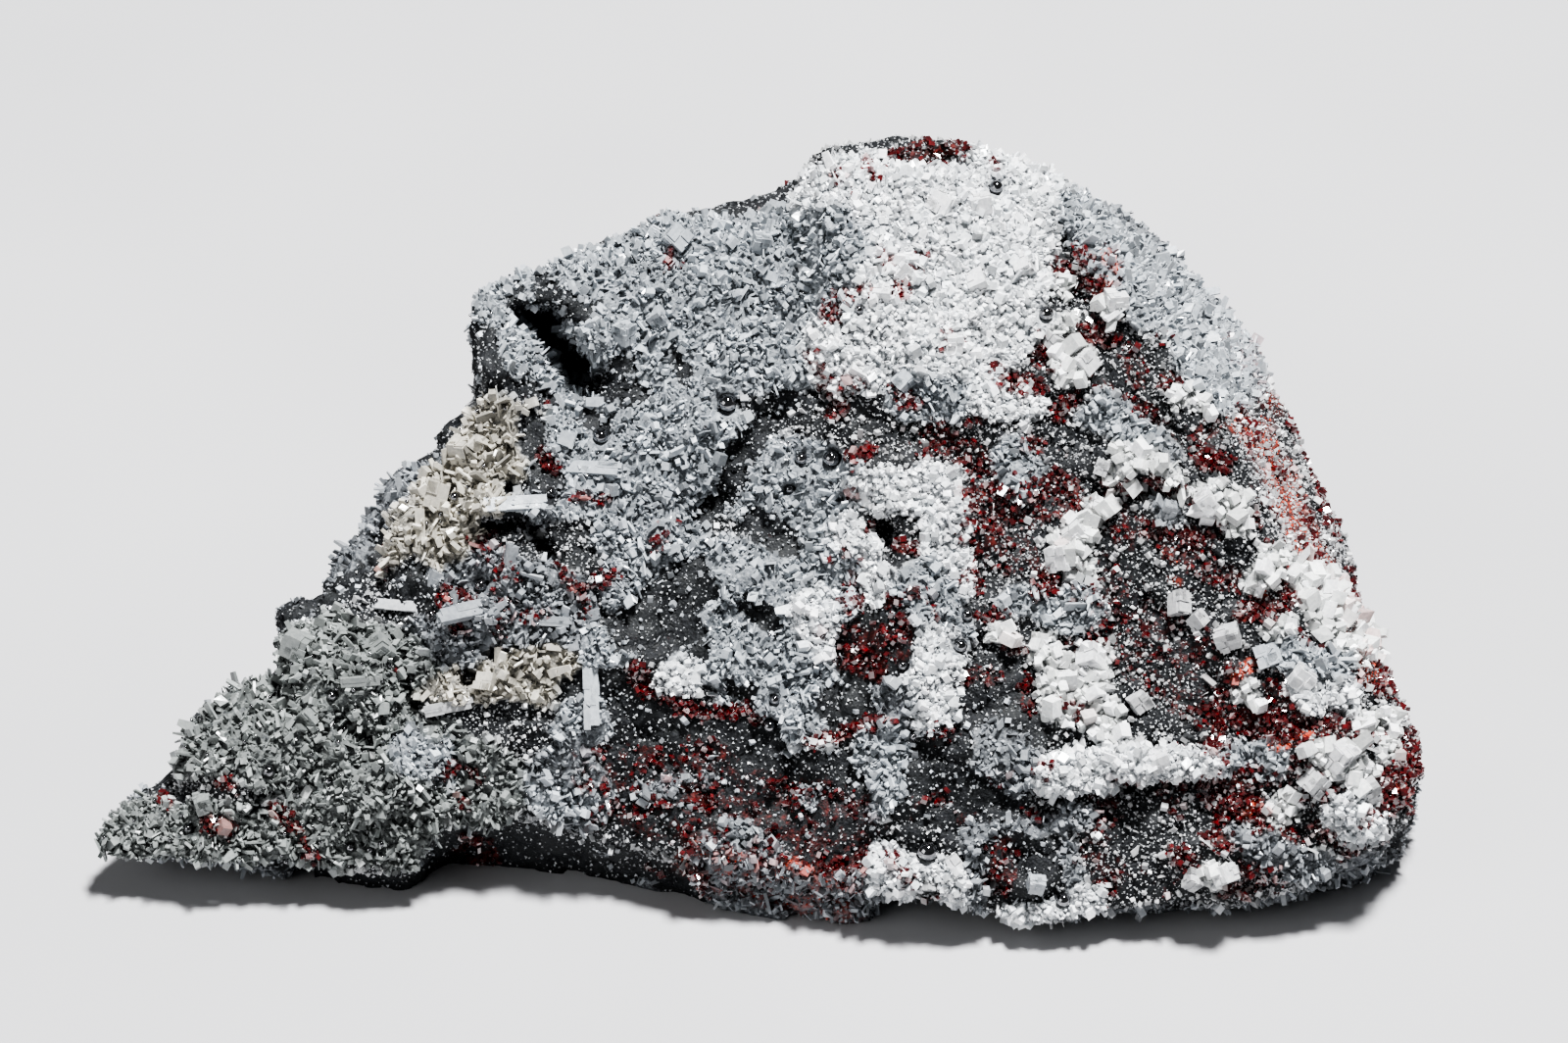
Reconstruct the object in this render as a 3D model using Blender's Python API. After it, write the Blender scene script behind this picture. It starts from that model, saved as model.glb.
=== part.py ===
"""Native mercury on matrix: a broken block of grey rock, crusted with pale carbonate crystals on its
leaning front face, with loose droplets of liquid mercury in the crust.

Metres, +Z up. The block rests on its flat broken underside at z = 0, its long side runs along X and
its crusted face looks towards -Y and up. The sizes below are millimetres. A point of the face is
given on the face's own plane: u to the right, v up the face, w behind it.
"""

import math

import bmesh
import bpy
import numpy as np
from mathutils import Matrix, Vector
from mathutils.bvhtree import BVHTree

# Driving dimensions
MM = 0.001
FACE_SLOPE = math.radians(40.0)  # the line square to the face stands this far above the horizon
SIGHT_DISTANCE = 600.0  # the widths of the outline are as seen from this far in front of the face
FACE_CENTRE = (1.8, -12.5, 26.5)  # where u = v = w = 0 lies, from the middle of the footprint
RIM_WIDTH = 1.3  # the rounded upper edge of the face, where there is no flank
RIM_DROP = 2.0

# The outline of the face at stations from the tail tip (left) to the right end:
# u and v of the lower edge, then u and v of the upper silhouette.
STATIONS = (
    (-51.8, -24.4, -51.9, -24.1),
    (-50.9, -25.1, -50.9, -22.8),
    (-49.7, -25.2, -49.5, -21.4),
    (-48.3, -25.1, -47.6, -20.7),
    (-46.9, -25.1, -46.2, -20.2),
    (-45.0, -25.1, -45.8, -18.4),
    (-43.0, -25.3, -44.9, -15.8),
    (-41.0, -25.6, -43.6, -14.1),
    (-39.0, -25.2, -41.6, -12.8),
    (-37.2, -25.1, -39.9, -12.2),
    (-35.5, -25.4, -38.1, -12.3),
    (-33.8, -25.8, -37.2, -11.4),
    (-32.6, -26.2, -38.2, -9.1),
    (-31.4, -26.5, -37.3, -8.0),
    (-30.1, -26.5, -35.3, -7.7),
    (-29.1, -26.2, -33.8, -6.7),
    (-28.1, -25.6, -32.0, -5.8),
    (-27.2, -24.4, -31.3, -4.8),
    (-26.5, -23.3, -30.4, -5.2),
    (-25.3, -22.6, -30.0, -3.1),
    (-23.9, -22.2, -29.4, -2.1),
    (-22.3, -22.8, -29.4, -0.2),
    (-20.8, -22.3, -28.8, 1.3),
    (-19.1, -22.4, -26.5, 2.8),
    (-17.4, -23.0, -25.9, 3.9),
    (-15.6, -23.4, -24.5, 4.9),
    (-13.8, -23.9, -24.5, 6.8),
    (-12.0, -24.2, -23.9, 8.0),
    (-10.4, -25.1, -23.5, 9.4),
    (-9.0, -25.7, -23.5, 10.9),
    (-7.7, -26.2, -23.7, 12.8),
    (-6.8, -26.8, -24.0, 14.8),
    (-6.2, -28.3, -22.9, 16.8),
    (-5.2, -29.1, -21.0, 17.9),
    (-3.7, -29.4, -18.4, 18.6),
    (-2.1, -29.8, -15.8, 19.8),
    (-0.5, -30.1, -12.9, 20.7),
    (1.1, -29.7, -10.9, 21.6),
    (2.4, -29.4, -9.0, 22.9),
    (3.7, -30.1, -7.3, 22.4),
    (4.8, -30.7, -5.2, 22.4),
    (6.3, -30.6, -2.7, 22.1),
    (6.9, -28.8, -1.9, 22.6),
    (7.5, -28.0, -0.1, 23.1),
    (8.6, -28.2, 0.9, 23.8),
    (9.7, -28.3, 1.3, 25.0),
    (11.3, -28.4, 1.6, 26.6),
    (12.6, -28.3, 2.6, 28.7),
    (14.1, -29.1, 3.2, 30.2),
    (15.2, -29.3, 4.6, 29.7),
    (16.5, -29.6, 6.7, 28.6),
    (18.1, -30.1, 9.1, 29.0),
    (19.6, -30.3, 11.8, 30.0),
    (21.2, -30.4, 13.5, 29.3),
    (22.3, -29.9, 15.0, 28.2),
    (23.9, -29.1, 17.1, 27.4),
    (25.7, -29.1, 19.4, 26.5),
    (27.5, -28.8, 21.6, 25.1),
    (29.4, -28.6, 23.2, 23.9),
    (31.2, -28.6, 25.7, 21.5),
    (32.9, -28.9, 28.4, 20.4),
    (34.6, -28.6, 30.1, 18.4),
    (36.4, -28.2, 32.0, 16.5),
    (37.9, -27.9, 34.1, 14.6),
    (39.0, -27.4, 36.8, 13.6),
    (40.3, -26.5, 38.4, 11.8),
    (41.6, -25.7, 39.8, 9.1),
    (43.0, -24.6, 40.2, 6.5),
    (44.2, -24.2, 40.9, 3.5),
    (45.2, -23.9, 41.9, 0.0),
    (46.1, -23.4, 43.0, -2.8),
    (46.8, -23.0, 43.6, -6.0),
    (47.3, -22.2, 44.6, -8.6),
    (47.4, -20.8, 45.9, -11.6),
    (48.0, -19.6, 47.3, -14.9),
    (48.2, -18.1, 48.2, -17.8),
)

# The ridge between the face and the right flank: station, u, v. Left of it the rim takes its place.
RIDGE = (
    (57, 21.2, 25.3),
    (58, 22.3, 23.0),
    (59, 23.6, 20.6),
    (60, 26.0, 18.6),
    (61, 27.1, 16.9),
    (62, 28.4, 14.1),
    (63, 30.7, 11.4),
    (64, 32.4, 9.5),
    (65, 34.0, 6.8),
    (66, 34.9, 4.6),
    (67, 35.7, 2.8),
    (68, 36.6, 0.9),
    (69, 37.5, -1.5),
    (70, 39.6, -4.2),
    (71, 41.0, -5.9),
    (72, 42.8, -8.3),
    (73, 44.6, -10.4),
    (74, 46.5, -13.8),
    (75, 48.2, -17.9),
)

# How far behind the face's plane its lower edge, ridge and silhouette lie: station, w.
LOWER_DEPTH = (
    (0, 5.0), (6, 4.0), (14, 4.0), (20, 4.5), (26, 3.2), (34, 2.6), (50, 1.6),
    (58, 1.0), (68, 1.5), (72, 4.0), (75, 6.0),
)
RIDGE_DEPTH = ((57, 6.0), (59, 3.0), (62, 1.2), (66, 0.6), (70, 1.2), (73, 3.5), (75, 6.0))
UPPER_DEPTH = (
    (0, 5.0), (10, 6.0), (16, 5.0), (20, 6.0), (26, 5.0), (31, 5.0), (36, 6.0),
    (44, 5.0), (46, 3.0), (48, 3.0), (50, 5.0), (52, 7.0), (56, 8.0), (57, 9.0),
    (58, 11.0), (59, 14.0), (60, 18.0), (61, 21.0), (62, 24.0), (64, 27.0),
    (66, 28.0), (68, 26.0), (70, 21.0), (72, 14.0), (74, 8.0), (75, 6.0),
)

# The hidden side, upright: station, shoulder y and z, back foot y, front foot y, height of the feet.
# These y start at the face's centre and z at the surface that the block rests on.
HIDDEN = (
    (0, -11.0, 4.6, -11.0, -11.8, 4.0),
    (5, -4.0, 7.0, -4.0, -11.0, 2.0),
    (10, 3.0, 10.5, 4.0, -11.0, 0.8),
    (15, 9.0, 13.5, 11.0, -11.5, -1.6),
    (20, 14.0, 16.5, 17.0, -9.0, -1.6),
    (25, 21.0, 20.0, 25.0, -10.0, -1.6),
    (31, 29.0, 25.0, 33.0, -13.0, -1.6),
    (36, 35.0, 29.0, 40.0, -14.0, -1.6),
    (44, 39.0, 31.0, 44.0, -13.0, -1.6),
    (50, 42.0, 33.0, 47.0, -14.0, -1.6),
    (56, 43.0, 30.0, 48.0, -14.0, -1.6),
    (60, 42.0, 24.0, 46.0, -13.5, -1.6),
    (64, 36.0, 15.0, 38.0, -13.0, -1.6),
    (68, 27.0, 9.0, 28.0, -12.0, -1.6),
    (72, 9.0, 7.0, 10.0, -9.0, -1.6),
    (75, -5.0, 7.0, -5.0, -7.0, 4.0),
)

# Ledges, lumps, pits and cracks of the face: both ends' u and v, half width, width of the slope
# round it, and height. A negative height goes into the rock.
RELIEF = (
    # the dark hollow near the upper left corner, its lit ramp and its raised lip
    (-20.4, 16.2, -17.7, 14.8, 1.1, 0.7, -5.5),
    (-17.7, 14.8, -15.0, 11.0, 1.2, 0.8, -5.0),
    (-19.7, 13.9, -17.0, 10.6, 1.2, 2.4, -2.2),
    (-19.2, 18.0, -16.6, 16.2, 0.8, 1.2, 1.3),
    (-16.6, 16.2, -14.2, 13.6, 0.5, 1.0, 1.1),
    (-22.6, 15.4, -21.9, 12.0, 0.7, 1.4, 1.4),
    # the ledge over a black slot, and the small pit above it
    (-22.3, 0.9, -18.2, 1.3, 0.5, 0.6, 1.2),
    (-22.3, -0.5, -18.3, 0.0, 0.35, 0.4, -3.0),
    (-18.8, -1.0, -17.8, -2.8, 0.4, 0.6, -2.4),
    (-21.3, 5.2, -20.9, 5.0, 0.5, 0.4, -2.6),
    # gaps and steps between the clear crystals on the left
    (-28.8, -9.0, -28.4, -13.8, 0.4, 0.7, -2.0),
    (-22.5, -9.4, -21.4, -10.2, 0.5, 0.6, -1.8),
    (-24.4, -11.4, -23.0, -12.2, 0.4, 0.5, -1.6),
    (-33.6, -15.0, -31.0, -17.2, 0.4, 0.9, -1.6),
    (-26.6, -8.2, -22.6, -7.2, 0.5, 0.9, 0.9),
    (-36.4, -9.4, -33.0, -11.6, 1.4, 1.6, 1.2),
    (-42.0, -18.6, -38.4, -17.2, 1.6, 1.8, 1.2),
    (-30.8, -20.4, -27.4, -18.0, 1.2, 1.6, 1.1),
    # the dark vein through the middle and the holes beside the white crust
    (0.0, 9.0, -5.6, 1.6, 0.7, 1.0, -0.9),
    (-5.6, 1.6, -8.2, -8.0, 0.8, 1.2, -0.9),
    (5.3, 2.2, 7.6, -1.0, 0.7, 0.9, -1.1),
    (7.6, -1.0, 6.0, -4.8, 0.8, 0.9, -1.1),
    (3.6, -4.0, 2.4, -16.5, 0.9, 1.4, -0.4),
    # the white crust that stands above it
    (9.6, 22.0, 17.0, 12.0, 5.0, 3.0, 1.0),
    (5.6, 13.0, 12.0, 10.0, 2.4, 2.4, 0.5),
    (11.8, -8.8, 9.0, -20.0, 1.8, 1.0, 0.8),
    (2.4, -18.0, -1.4, -13.0, 0.8, 0.8, 0.7),
    # the crystal-lined crack on the right and the ledge that roofs it
    (23.2, 4.6, 29.6, 3.8, 0.7, 0.8, 0.9),
    (24.9, 2.4, 30.6, 1.9, 0.4, 0.5, -1.5),
    (30.9, 1.9, 33.2, -0.6, 0.4, 0.6, -1.4),
    (33.4, 2.2, 34.4, -0.6, 0.7, 1.0, 0.8),
    # the white shelf low on the right, with its shadowed underside
    (20.6, -19.3, 26.6, -18.5, 0.8, 0.5, 1.7),
    (26.6, -18.5, 32.8, -17.8, 0.6, 0.5, 1.5),
    (24.6, -20.4, 32.6, -19.3, 0.5, 0.5, -0.8),
    # lumps at the lower right corner
    (34.4, -9.0, 39.6, -12.2, 1.8, 1.6, 1.0),
    (40.0, -16.6, 44.4, -20.4, 2.0, 1.8, 1.1),
    (31.0, -26.0, 37.0, -24.8, 1.2, 1.4, 0.9),
    # the square grey patch and the rim that hangs over the lower edge
    (16.4, -24.4, 18.8, -26.4, 1.9, 0.7, 1.2),
    (6.6, -26.6, 14.4, -27.6, 0.7, 0.7, 1.1),
    # the lower block, set back below its crack
    (-11.9, -24.9, -5.8, -26.1, 0.3, 0.5, -1.4),
    (-5.8, -26.1, 6.0, -28.0, 0.35, 0.5, -1.0),
    (-5.0, -28.5, 5.4, -29.9, 1.5, 0.6, -2.8),
    # the thin band that slopes back between the two spurs of the upper rim
    (6.0, 28.2, 16.6, 27.6, 0.8, 1.2, -2.4),
)
FACE_SWELL = 2.6  # how far the middle of the face stands in front of the line between its edges

# Unevenness that follows no named feature: size of the cell, height, seed
FACE_LUMPS = ((8.5, 0.7, 3), (3.6, 0.35, 4))
FACE_FACETS = ((4.2, 0.45, 31), (2.1, 0.30, 32))
BLOCK_WARP = ((11.0, 1.5, 21), (4.5, 0.7, 26))
HIDDEN_FACETS = ((8.0, 0.9, 41), (3.6, 0.5, 42))
FACE_WARP_SHARE = 0.1  # the face takes this share of the warp, because its places are known

# Broken flats of the hidden side: azimuth and elevation of the way each one faces, in degrees, and
# its distance from the origin.
FRACTURES = (
    (60.0, 20.0, 39.5),
    (80.0, 40.0, 38.5),
    (100.0, 5.0, 26.0),
    (128.0, 22.0, 27.5),
    (112.0, 42.0, 34.8),
    (30.0, 5.0, 42.5),
    (60.0, -25.0, 36.5),
    (100.0, -30.0, 23.5),
    (140.0, 20.0, 29.5),
    (20.0, 20.0, 45.5),
)

# Larger crystals that stand out one by one: u, v, size, kind.
LONE_CRYSTALS = (
    (9.1, 10.9, 1.5, "rhomb"), (25.1, 16.7, 1.7, "rhomb"), (22.7, 11.7, 1.8, "rhomb"),
    (20.6, 13.6, 1.4, "rhomb"), (23.8, 1.2, 1.3, "rhomb"), (22.3, -1.0, 1.9, "rhomb"),
    (21.0, -2.6, 1.9, "rhomb"), (22.0, -4.0, 1.5, "rhomb"), (29.4, 0.7, 1.4, "rhomb"),
    (32.7, 1.6, 1.7, "rhomb"), (24.4, 4.2, 1.4, "rhomb"), (30.1, -6.2, 1.7, "rhomb"),
    (31.6, -7.6, 1.5, "rhomb"), (33.8, -8.8, 2.0, "rhomb"), (26.8, -13.6, 1.5, "rhomb"),
    (28.9, -18.0, 1.6, "rhomb"), (23.2, -10.4, 1.8, "rhomb"), (21.2, -11.8, 1.7, "rhomb"),
    (24.6, -12.6, 1.4, "rhomb"), (36.8, -9.8, 2.0, "rhomb"), (39.2, -12.0, 2.1, "rhomb"),
    (42.0, -17.6, 2.2, "rhomb"), (40.2, -19.8, 1.8, "rhomb"), (44.2, -20.6, 1.8, "rhomb"),
    (33.4, -26.6, 1.8, "rhomb"), (31.0, -27.2, 1.5, "rhomb"), (19.4, -27.6, 1.5, "rhomb"),
    (12.8, -26.4, 1.5, "rhomb"), (11.0, -27.4, 1.4, "rhomb"), (14.6, 24.0, 1.6, "rhomb"),
    (12.0, 23.8, 1.8, "rhomb"), (9.0, 19.0, 1.6, "rhomb"), (7.4, 17.2, 1.5, "rhomb"),
    (14.6, 18.2, 1.7, "rhomb"), (18.2, 19.6, 1.5, "rhomb"), (5.2, 11.6, 1.5, "rhomb"),
    (12.6, 13.4, 1.6, "rhomb"), (-11.9, 14.4, 1.7, "rhomb"), (-9.6, 15.4, 1.6, "rhomb"),
    (-16.4, 6.6, 1.3, "rhomb"), (-10.2, 7.6, 1.3, "rhomb"), (-36.9, -9.8, 2.4, "rhomb"),
    (-30.6, -9.8, 1.9, "rhomb"), (-26.0, -4.6, 1.8, "rhomb"), (-27.0, 2.8, 2.0, "rhomb"),
    (-24.6, 5.8, 2.0, "rhomb"), (-8.0, 21.6, 2.0, "rhomb"), (-1.6, 21.0, 1.6, "rhomb"),
    (-43.6, -21.2, 1.6, "rhomb"), (-35.8, -14.8, 1.8, "rhomb"), (-22.0, -12.0, 1.7, "rhomb"),
    (-23.6, -6.9, 4.8, "blade"), (-29.2, -6.4, 3.2, "blade"), (-20.8, -3.4, 3.6, "upright"),
    (-20.2, 1.2, 4.2, "blade"), (-14.6, -13.4, 4.6, "upright"), (-14.6, 3.6, 4.0, "blade"),
    (-32.2, -12.0, 3.0, "blade"), (-25.4, -14.0, 3.4, "blade"), (-38.0, -21.0, 2.8, "blade"),
    (-17.8, -7.6, 3.0, "blade"), (-27.4, -0.4, 3.0, "upright"), (-30.4, -17.6, 2.6, "upright"),
)
CRYSTAL_SEED = 11
CRYSTAL_ROOT = 0.12  # a crystal's middle stands this share of its size above the rock
RHOMB_EDGE = (0.80, 0.60)  # how far an edge of a rhomb reaches outwards and along its axis
BLADE_SECTION = (0.26, 0.16)  # width and thickness of a blade, as shares of its length

# Droplets of mercury: u, v and radius.
DROPLETS = (
    (-4.3, 9.0, 0.75), (-13.9, 6.5, 0.62), (1.3, 4.8, 0.50), (3.6, 4.8, 0.66),
    (0.4, 2.5, 0.38), (5.7, 16.1, 0.38), (19.9, 15.8, 0.58), (16.1, 25.4, 0.55),
    (10.9, -25.0, 0.82), (21.2, -28.7, 0.58), (13.4, -9.4, 0.56), (9.0, -10.9, 0.42),
    (13.9, -7.1, 0.48), (-1.1, -15.5, 0.52), (-0.7, -13.5, 0.42), (-23.0, -4.8, 0.52),
    (-26.8, -7.1, 0.52), (-23.9, -11.9, 0.50), (-17.7, 2.2, 0.42), (-25.0, 1.9, 0.36),
    (-34.3, -13.2, 0.42), (-39.1, -18.9, 0.52), (-45.2, -23.3, 0.38), (-32.9, -24.7, 0.36),
)
DROPLET_SAG = 0.92  # a droplet is a little flatter than round, under its own weight
DROPLET_LIFT = 0.45  # its centre stands this share of its radius above the rock
DROPLET_GAP = 0.12
ICOSAHEDRON_INNER = 0.795  # an icosahedron's faces lie this share of its radius from its middle

# How finely the block is worked before it is thinned to its main facets
ROWS_PER_STATION = 2
FACE_STEPS = 46
FLANK_STEPS = 6
TOP_STEPS = 9
BACK_STEPS = 10
BED_STEPS = 10
UNDERCUT_STEPS = 4
FACETS_KEPT = 4600

BED_BOX = 0.3  # metres, the side of the box that cuts the underside flat

COLLECTION = "native_mercury_on_matrix"


def clear_scene():
    """Empties the scene that the script runs in."""
    for scene_object in list(bpy.data.objects):
        bpy.data.objects.remove(scene_object, do_unlink=True)


def new_collection(name):
    """A collection under the scene."""
    collection = bpy.data.collections.new(name)
    bpy.context.scene.collection.children.link(collection)
    return collection


def principled(name, colour, roughness, metallic):
    """A plain material of the piece's own colour and gloss."""
    material = bpy.data.materials.new(name)
    material.use_nodes = True
    shader = material.node_tree.nodes["Principled BSDF"]
    shader.inputs["Base Color"].default_value = (*colour, 1.0)
    shader.inputs["Roughness"].default_value = roughness
    shader.inputs["Metallic"].default_value = metallic
    return material


def from_face(u, v, w):
    """Upright millimetres of a face point: the sight line through (u, v) is followed to depth w, where
    things are wider by 1 + w / SIGHT_DISTANCE, and the leaning axes are turned upright."""
    widening = 1.0 + np.asarray(w) / SIGHT_DISTANCE
    across = np.asarray(u) * widening
    up = np.asarray(v) * widening
    x = FACE_CENTRE[0] + across
    y = FACE_CENTRE[1] + up * math.sin(FACE_SLOPE) + w * math.cos(FACE_SLOPE)
    z = FACE_CENTRE[2] + up * math.cos(FACE_SLOPE) - w * math.sin(FACE_SLOPE)
    return np.stack(np.broadcast_arrays(x, y, z), axis=-1)


def lattice_number(corner, seed):
    """The fixed random number from 0 to 1 of each whole-numbered lattice corner."""
    x, y, z = np.moveaxis(corner, -1, 0)
    mixed = (x * 73856093) ^ (y * 19349663) ^ (z * 83492791) ^ (seed * 26544357)
    mixed = mixed & 0xFFFFFFFF
    mixed = ((mixed ^ (mixed >> 15)) * 1274126177) & 0xFFFFFFFF
    mixed = ((mixed ^ (mixed >> 13)) * 668265263) & 0xFFFFFFFF
    return ((mixed ^ (mixed >> 16)) & 0xFFFFFFFF) / 0xFFFFFFFF


def lattice_noise(points, cell, seed):
    """Smooth noise from -1 to 1: fixed random numbers on a cubic lattice of the given cell, blended
    between the eight corners round each point with the weight 3 t^2 - 2 t^3."""
    scaled = np.asarray(points) / cell + 1000.0
    corner = np.floor(scaled).astype(np.int64)
    part = smooth_step(scaled - corner)
    total = np.zeros(scaled.shape[:-1])
    for step in np.ndindex(2, 2, 2):
        weight = np.prod(np.where(np.array(step) == 1, part, 1.0 - part), axis=-1)
        total += weight * lattice_number(corner + np.array(step), seed)
    return 2.0 * total - 1.0


def noise_sum(kind, points, layers):
    """The sum of several sizes of one kind of noise: layers of cell, height and seed."""
    return sum(height * kind(points, cell, seed) for cell, height, seed in layers)


def facet_noise(points, cell, seed):
    """Broken facets, from about -1 to 1: space is parted among seeds, one in each cube of the given
    cell, and each seed has a height and a slope of its own: value = height + slope . (p - seed)."""
    scaled = np.asarray(points) / cell + 1000.0
    corner = np.floor(scaled).astype(np.int64)
    nearest = np.full(scaled.shape[:-1], np.inf)
    value = np.zeros(scaled.shape[:-1])
    for step in np.ndindex(3, 3, 3):
        cube = corner + np.array(step) - 1
        drawn = [lattice_number(cube, seed + 100 * k) for k in range(7)]
        offset = scaled - cube - np.stack(drawn[:3], axis=-1)
        distance = (offset**2).sum(axis=-1)
        slope = 2.0 * np.stack(drawn[3:6], axis=-1) - 1.0
        plane = drawn[6] - 0.5 + 1.1 * (slope * offset).sum(axis=-1)
        closer = distance < nearest
        nearest = np.where(closer, distance, nearest)
        value = np.where(closer, plane, value)
    return value


def smooth_step(value):
    """0 below 0, 1 above 1 and 3 t^2 - 2 t^3 between."""
    clipped = np.clip(value, 0.0, 1.0)
    return clipped * clipped * (3.0 - 2.0 * clipped)


def relief_height(u, v):
    """Height of the face above its smooth swell: each row of RELIEF adds its height inside its half
    width of the line between its two ends, fading over the slope round it."""
    height = np.zeros(np.broadcast(u, v).shape)
    for u_a, v_a, u_b, v_b, half_width, slope, rise in RELIEF:
        along_u = u_b - u_a
        along_v = v_b - v_a
        share = ((u - u_a) * along_u + (v - v_a) * along_v) / (along_u**2 + along_v**2)
        share = np.clip(share, 0.0, 1.0)
        distance = np.hypot(u - u_a - share * along_u, v - v_a - share * along_v)
        height += rise * smooth_step((half_width + slope - distance) / slope)
    return height


def read_rows(table, station, column):
    """The column of a table, read at any station by straight lines between its rows."""
    values = np.array(table, dtype=float)
    return np.interp(station, values[:, 0], values[:, column])


def between(start, end, steps):
    """Points from start up to, and not including, end: an array (rows, steps, 3)."""
    share = np.arange(steps)[None, :, None] / steps
    return start[:, None, :] * (1.0 - share) + end[:, None, :] * share


def face_edges(station):
    """The face's lower edge, its ridge or rim, and its silhouette, each as columns u, v and w."""
    last = len(STATIONS) - 1
    numbered = np.column_stack([np.arange(last + 1), np.array(STATIONS)])
    lower = np.stack([read_rows(numbered, station, 1), read_rows(numbered, station, 2)], axis=-1)
    upper = np.stack([read_rows(numbered, station, 3), read_rows(numbered, station, 4)], axis=-1)
    lower = np.column_stack([lower, read_rows(LOWER_DEPTH, station, 1)])
    upper = np.column_stack([upper, read_rows(UPPER_DEPTH, station, 1)])
    chord = np.linalg.norm(upper[:, :2] - lower[:, :2], axis=1)
    share = np.clip(RIM_WIDTH / np.maximum(chord, 0.1), 0.0, 0.3)[:, None]
    rim = upper * (1.0 - share) + lower * share
    rim[:, 2] -= RIM_DROP * np.minimum(chord / 12.0, 1.0)
    ridge = np.column_stack(
        [
            read_rows(RIDGE, station, 1),
            read_rows(RIDGE, station, 2),
            read_rows(RIDGE_DEPTH, station, 1),
        ]
    )
    flanked = smooth_step(station - RIDGE[0][0] + 1.0)[:, None]
    return lower, rim * (1.0 - flanked) + ridge * flanked, upper


def front_height(u, v):
    """Height of the worked face: its relief, with soft lumps and with broken facets of two sizes."""
    flat = np.stack([u, v, np.zeros_like(u)], axis=-1)
    lumps = noise_sum(lattice_noise, flat, FACE_LUMPS)
    return relief_height(u, v) + lumps + noise_sum(facet_noise, flat, FACE_FACETS)


def worked_front(station, lower, ridge, steps):
    """The face as rows of sight points: straight lines from the lower edge to the ridge, swollen by
    FACE_SWELL (4 t (1 - t))^0.6 and raised by front_height, which fades out at the ridge."""
    share = np.arange(steps)[None, :] / steps
    u, v, w = (
        lower[:, axis][:, None] * (1.0 - share) + ridge[:, axis][:, None] * share
        for axis in range(3)
    )
    height = np.hypot(ridge[:, 0] - lower[:, 0], ridge[:, 1] - lower[:, 1])[:, None]
    swell = FACE_SWELL * np.minimum(height / 30.0, 1.0) * (4.0 * share * (1.0 - share)) ** 0.6
    near_ridge = smooth_step((1.0 - share) * height / 1.5)
    near_ends = np.minimum(station, len(STATIONS) - 1 - station)[:, None] / 3.0
    raised = front_height(u, v) * near_ridge * np.minimum(near_ends, 1.0)
    return from_face(u, v, w - swell - raised)


def block_grid(rows_per_station, face, flank, top, back, bed, undercut):
    """The skin of the block as rows of closed loops, an array (rows, loop, 3) in millimetres.

    Each loop runs up the face to the ridge, over the flank to the silhouette, across the top to the
    shoulder, down the back, along the bed and up the undercut front.
    """
    last = len(STATIONS) - 1
    station = np.linspace(0.0, last, last * rows_per_station + 1)
    lower, ridge, upper = face_edges(station)
    front = worked_front(station, lower, ridge, face)
    lower_edge = front[:, 0]
    ridge_edge = from_face(*ridge.T)
    silhouette = from_face(*upper.T)

    shoulder_y, shoulder_z, back_y, front_y, feet_z = (
        read_rows(HIDDEN, station, column) for column in range(1, 6)
    )
    shoulder = upright(silhouette[:, 0], shoulder_y, shoulder_z)
    back_foot = upright(0.5 * (lower_edge[:, 0] + silhouette[:, 0]), back_y, feet_z)
    front_foot = upright(lower_edge[:, 0], front_y, feet_z)
    skin = np.concatenate(
        [
            front,
            between(ridge_edge, silhouette, flank),
            between(silhouette, shoulder, top),
            between(shoulder, back_foot, back),
            between(back_foot, front_foot, bed),
            between(front_foot, lower_edge, undercut),
        ],
        axis=1,
    )
    hidden = np.concatenate(
        [
            np.zeros(face),
            np.linspace(0.1, 0.3, flank),
            np.linspace(0.0, 1.0, top),
            np.ones(back + bed),
            np.linspace(1.0, 0.0, undercut),
        ]
    )
    thick = np.clip(np.minimum(station / 16.0, (last - station) / 4.0), 0.0, 1.0)
    return break_up(skin, hidden[None, :, None] * thick[:, None, None])


def upright(x, y, z):
    """Points of the hidden side, whose y starts at the face's centre."""
    return np.stack([x, FACE_CENTRE[1] + y, z], axis=-1)


def grid_outward(skin):
    """The outward direction at each point of the grid: the cross product of its two runs."""
    along = np.gradient(skin, axis=0)
    around = np.roll(skin, -1, axis=1) - np.roll(skin, 1, axis=1)
    outward = np.cross(along, around)
    return outward / np.maximum(np.linalg.norm(outward, axis=-1, keepdims=True), 1e-9)


def break_up(skin, hidden):
    """Gives the smooth block its broken shape. Vector noise shifts each point, strongly on the hidden
    side and slightly on the face. What stands beyond a fracture is pushed back onto its plane. Then
    the hidden side is roughened by facets along the outward direction."""
    shift = [
        noise_sum(lattice_noise, skin, [(cell, height, seed + axis) for cell, height, seed in BLOCK_WARP])
        for axis in range(3)
    ]
    skin = skin + np.stack(shift, axis=-1) * (FACE_WARP_SHARE + (1.0 - FACE_WARP_SHARE) * hidden)
    for azimuth, elevation, distance in FRACTURES:
        around, lift = math.radians(azimuth), math.radians(elevation)
        facing = np.array(
            [math.cos(around) * math.cos(lift), math.sin(around) * math.cos(lift), math.sin(lift)]
        )
        beyond = np.maximum(skin @ facing - distance, 0.0)
        skin = skin - beyond[..., None] * facing
    rough = noise_sum(facet_noise, skin, HIDDEN_FACETS)
    return skin + grid_outward(skin) * rough[..., None] * hidden


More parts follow.
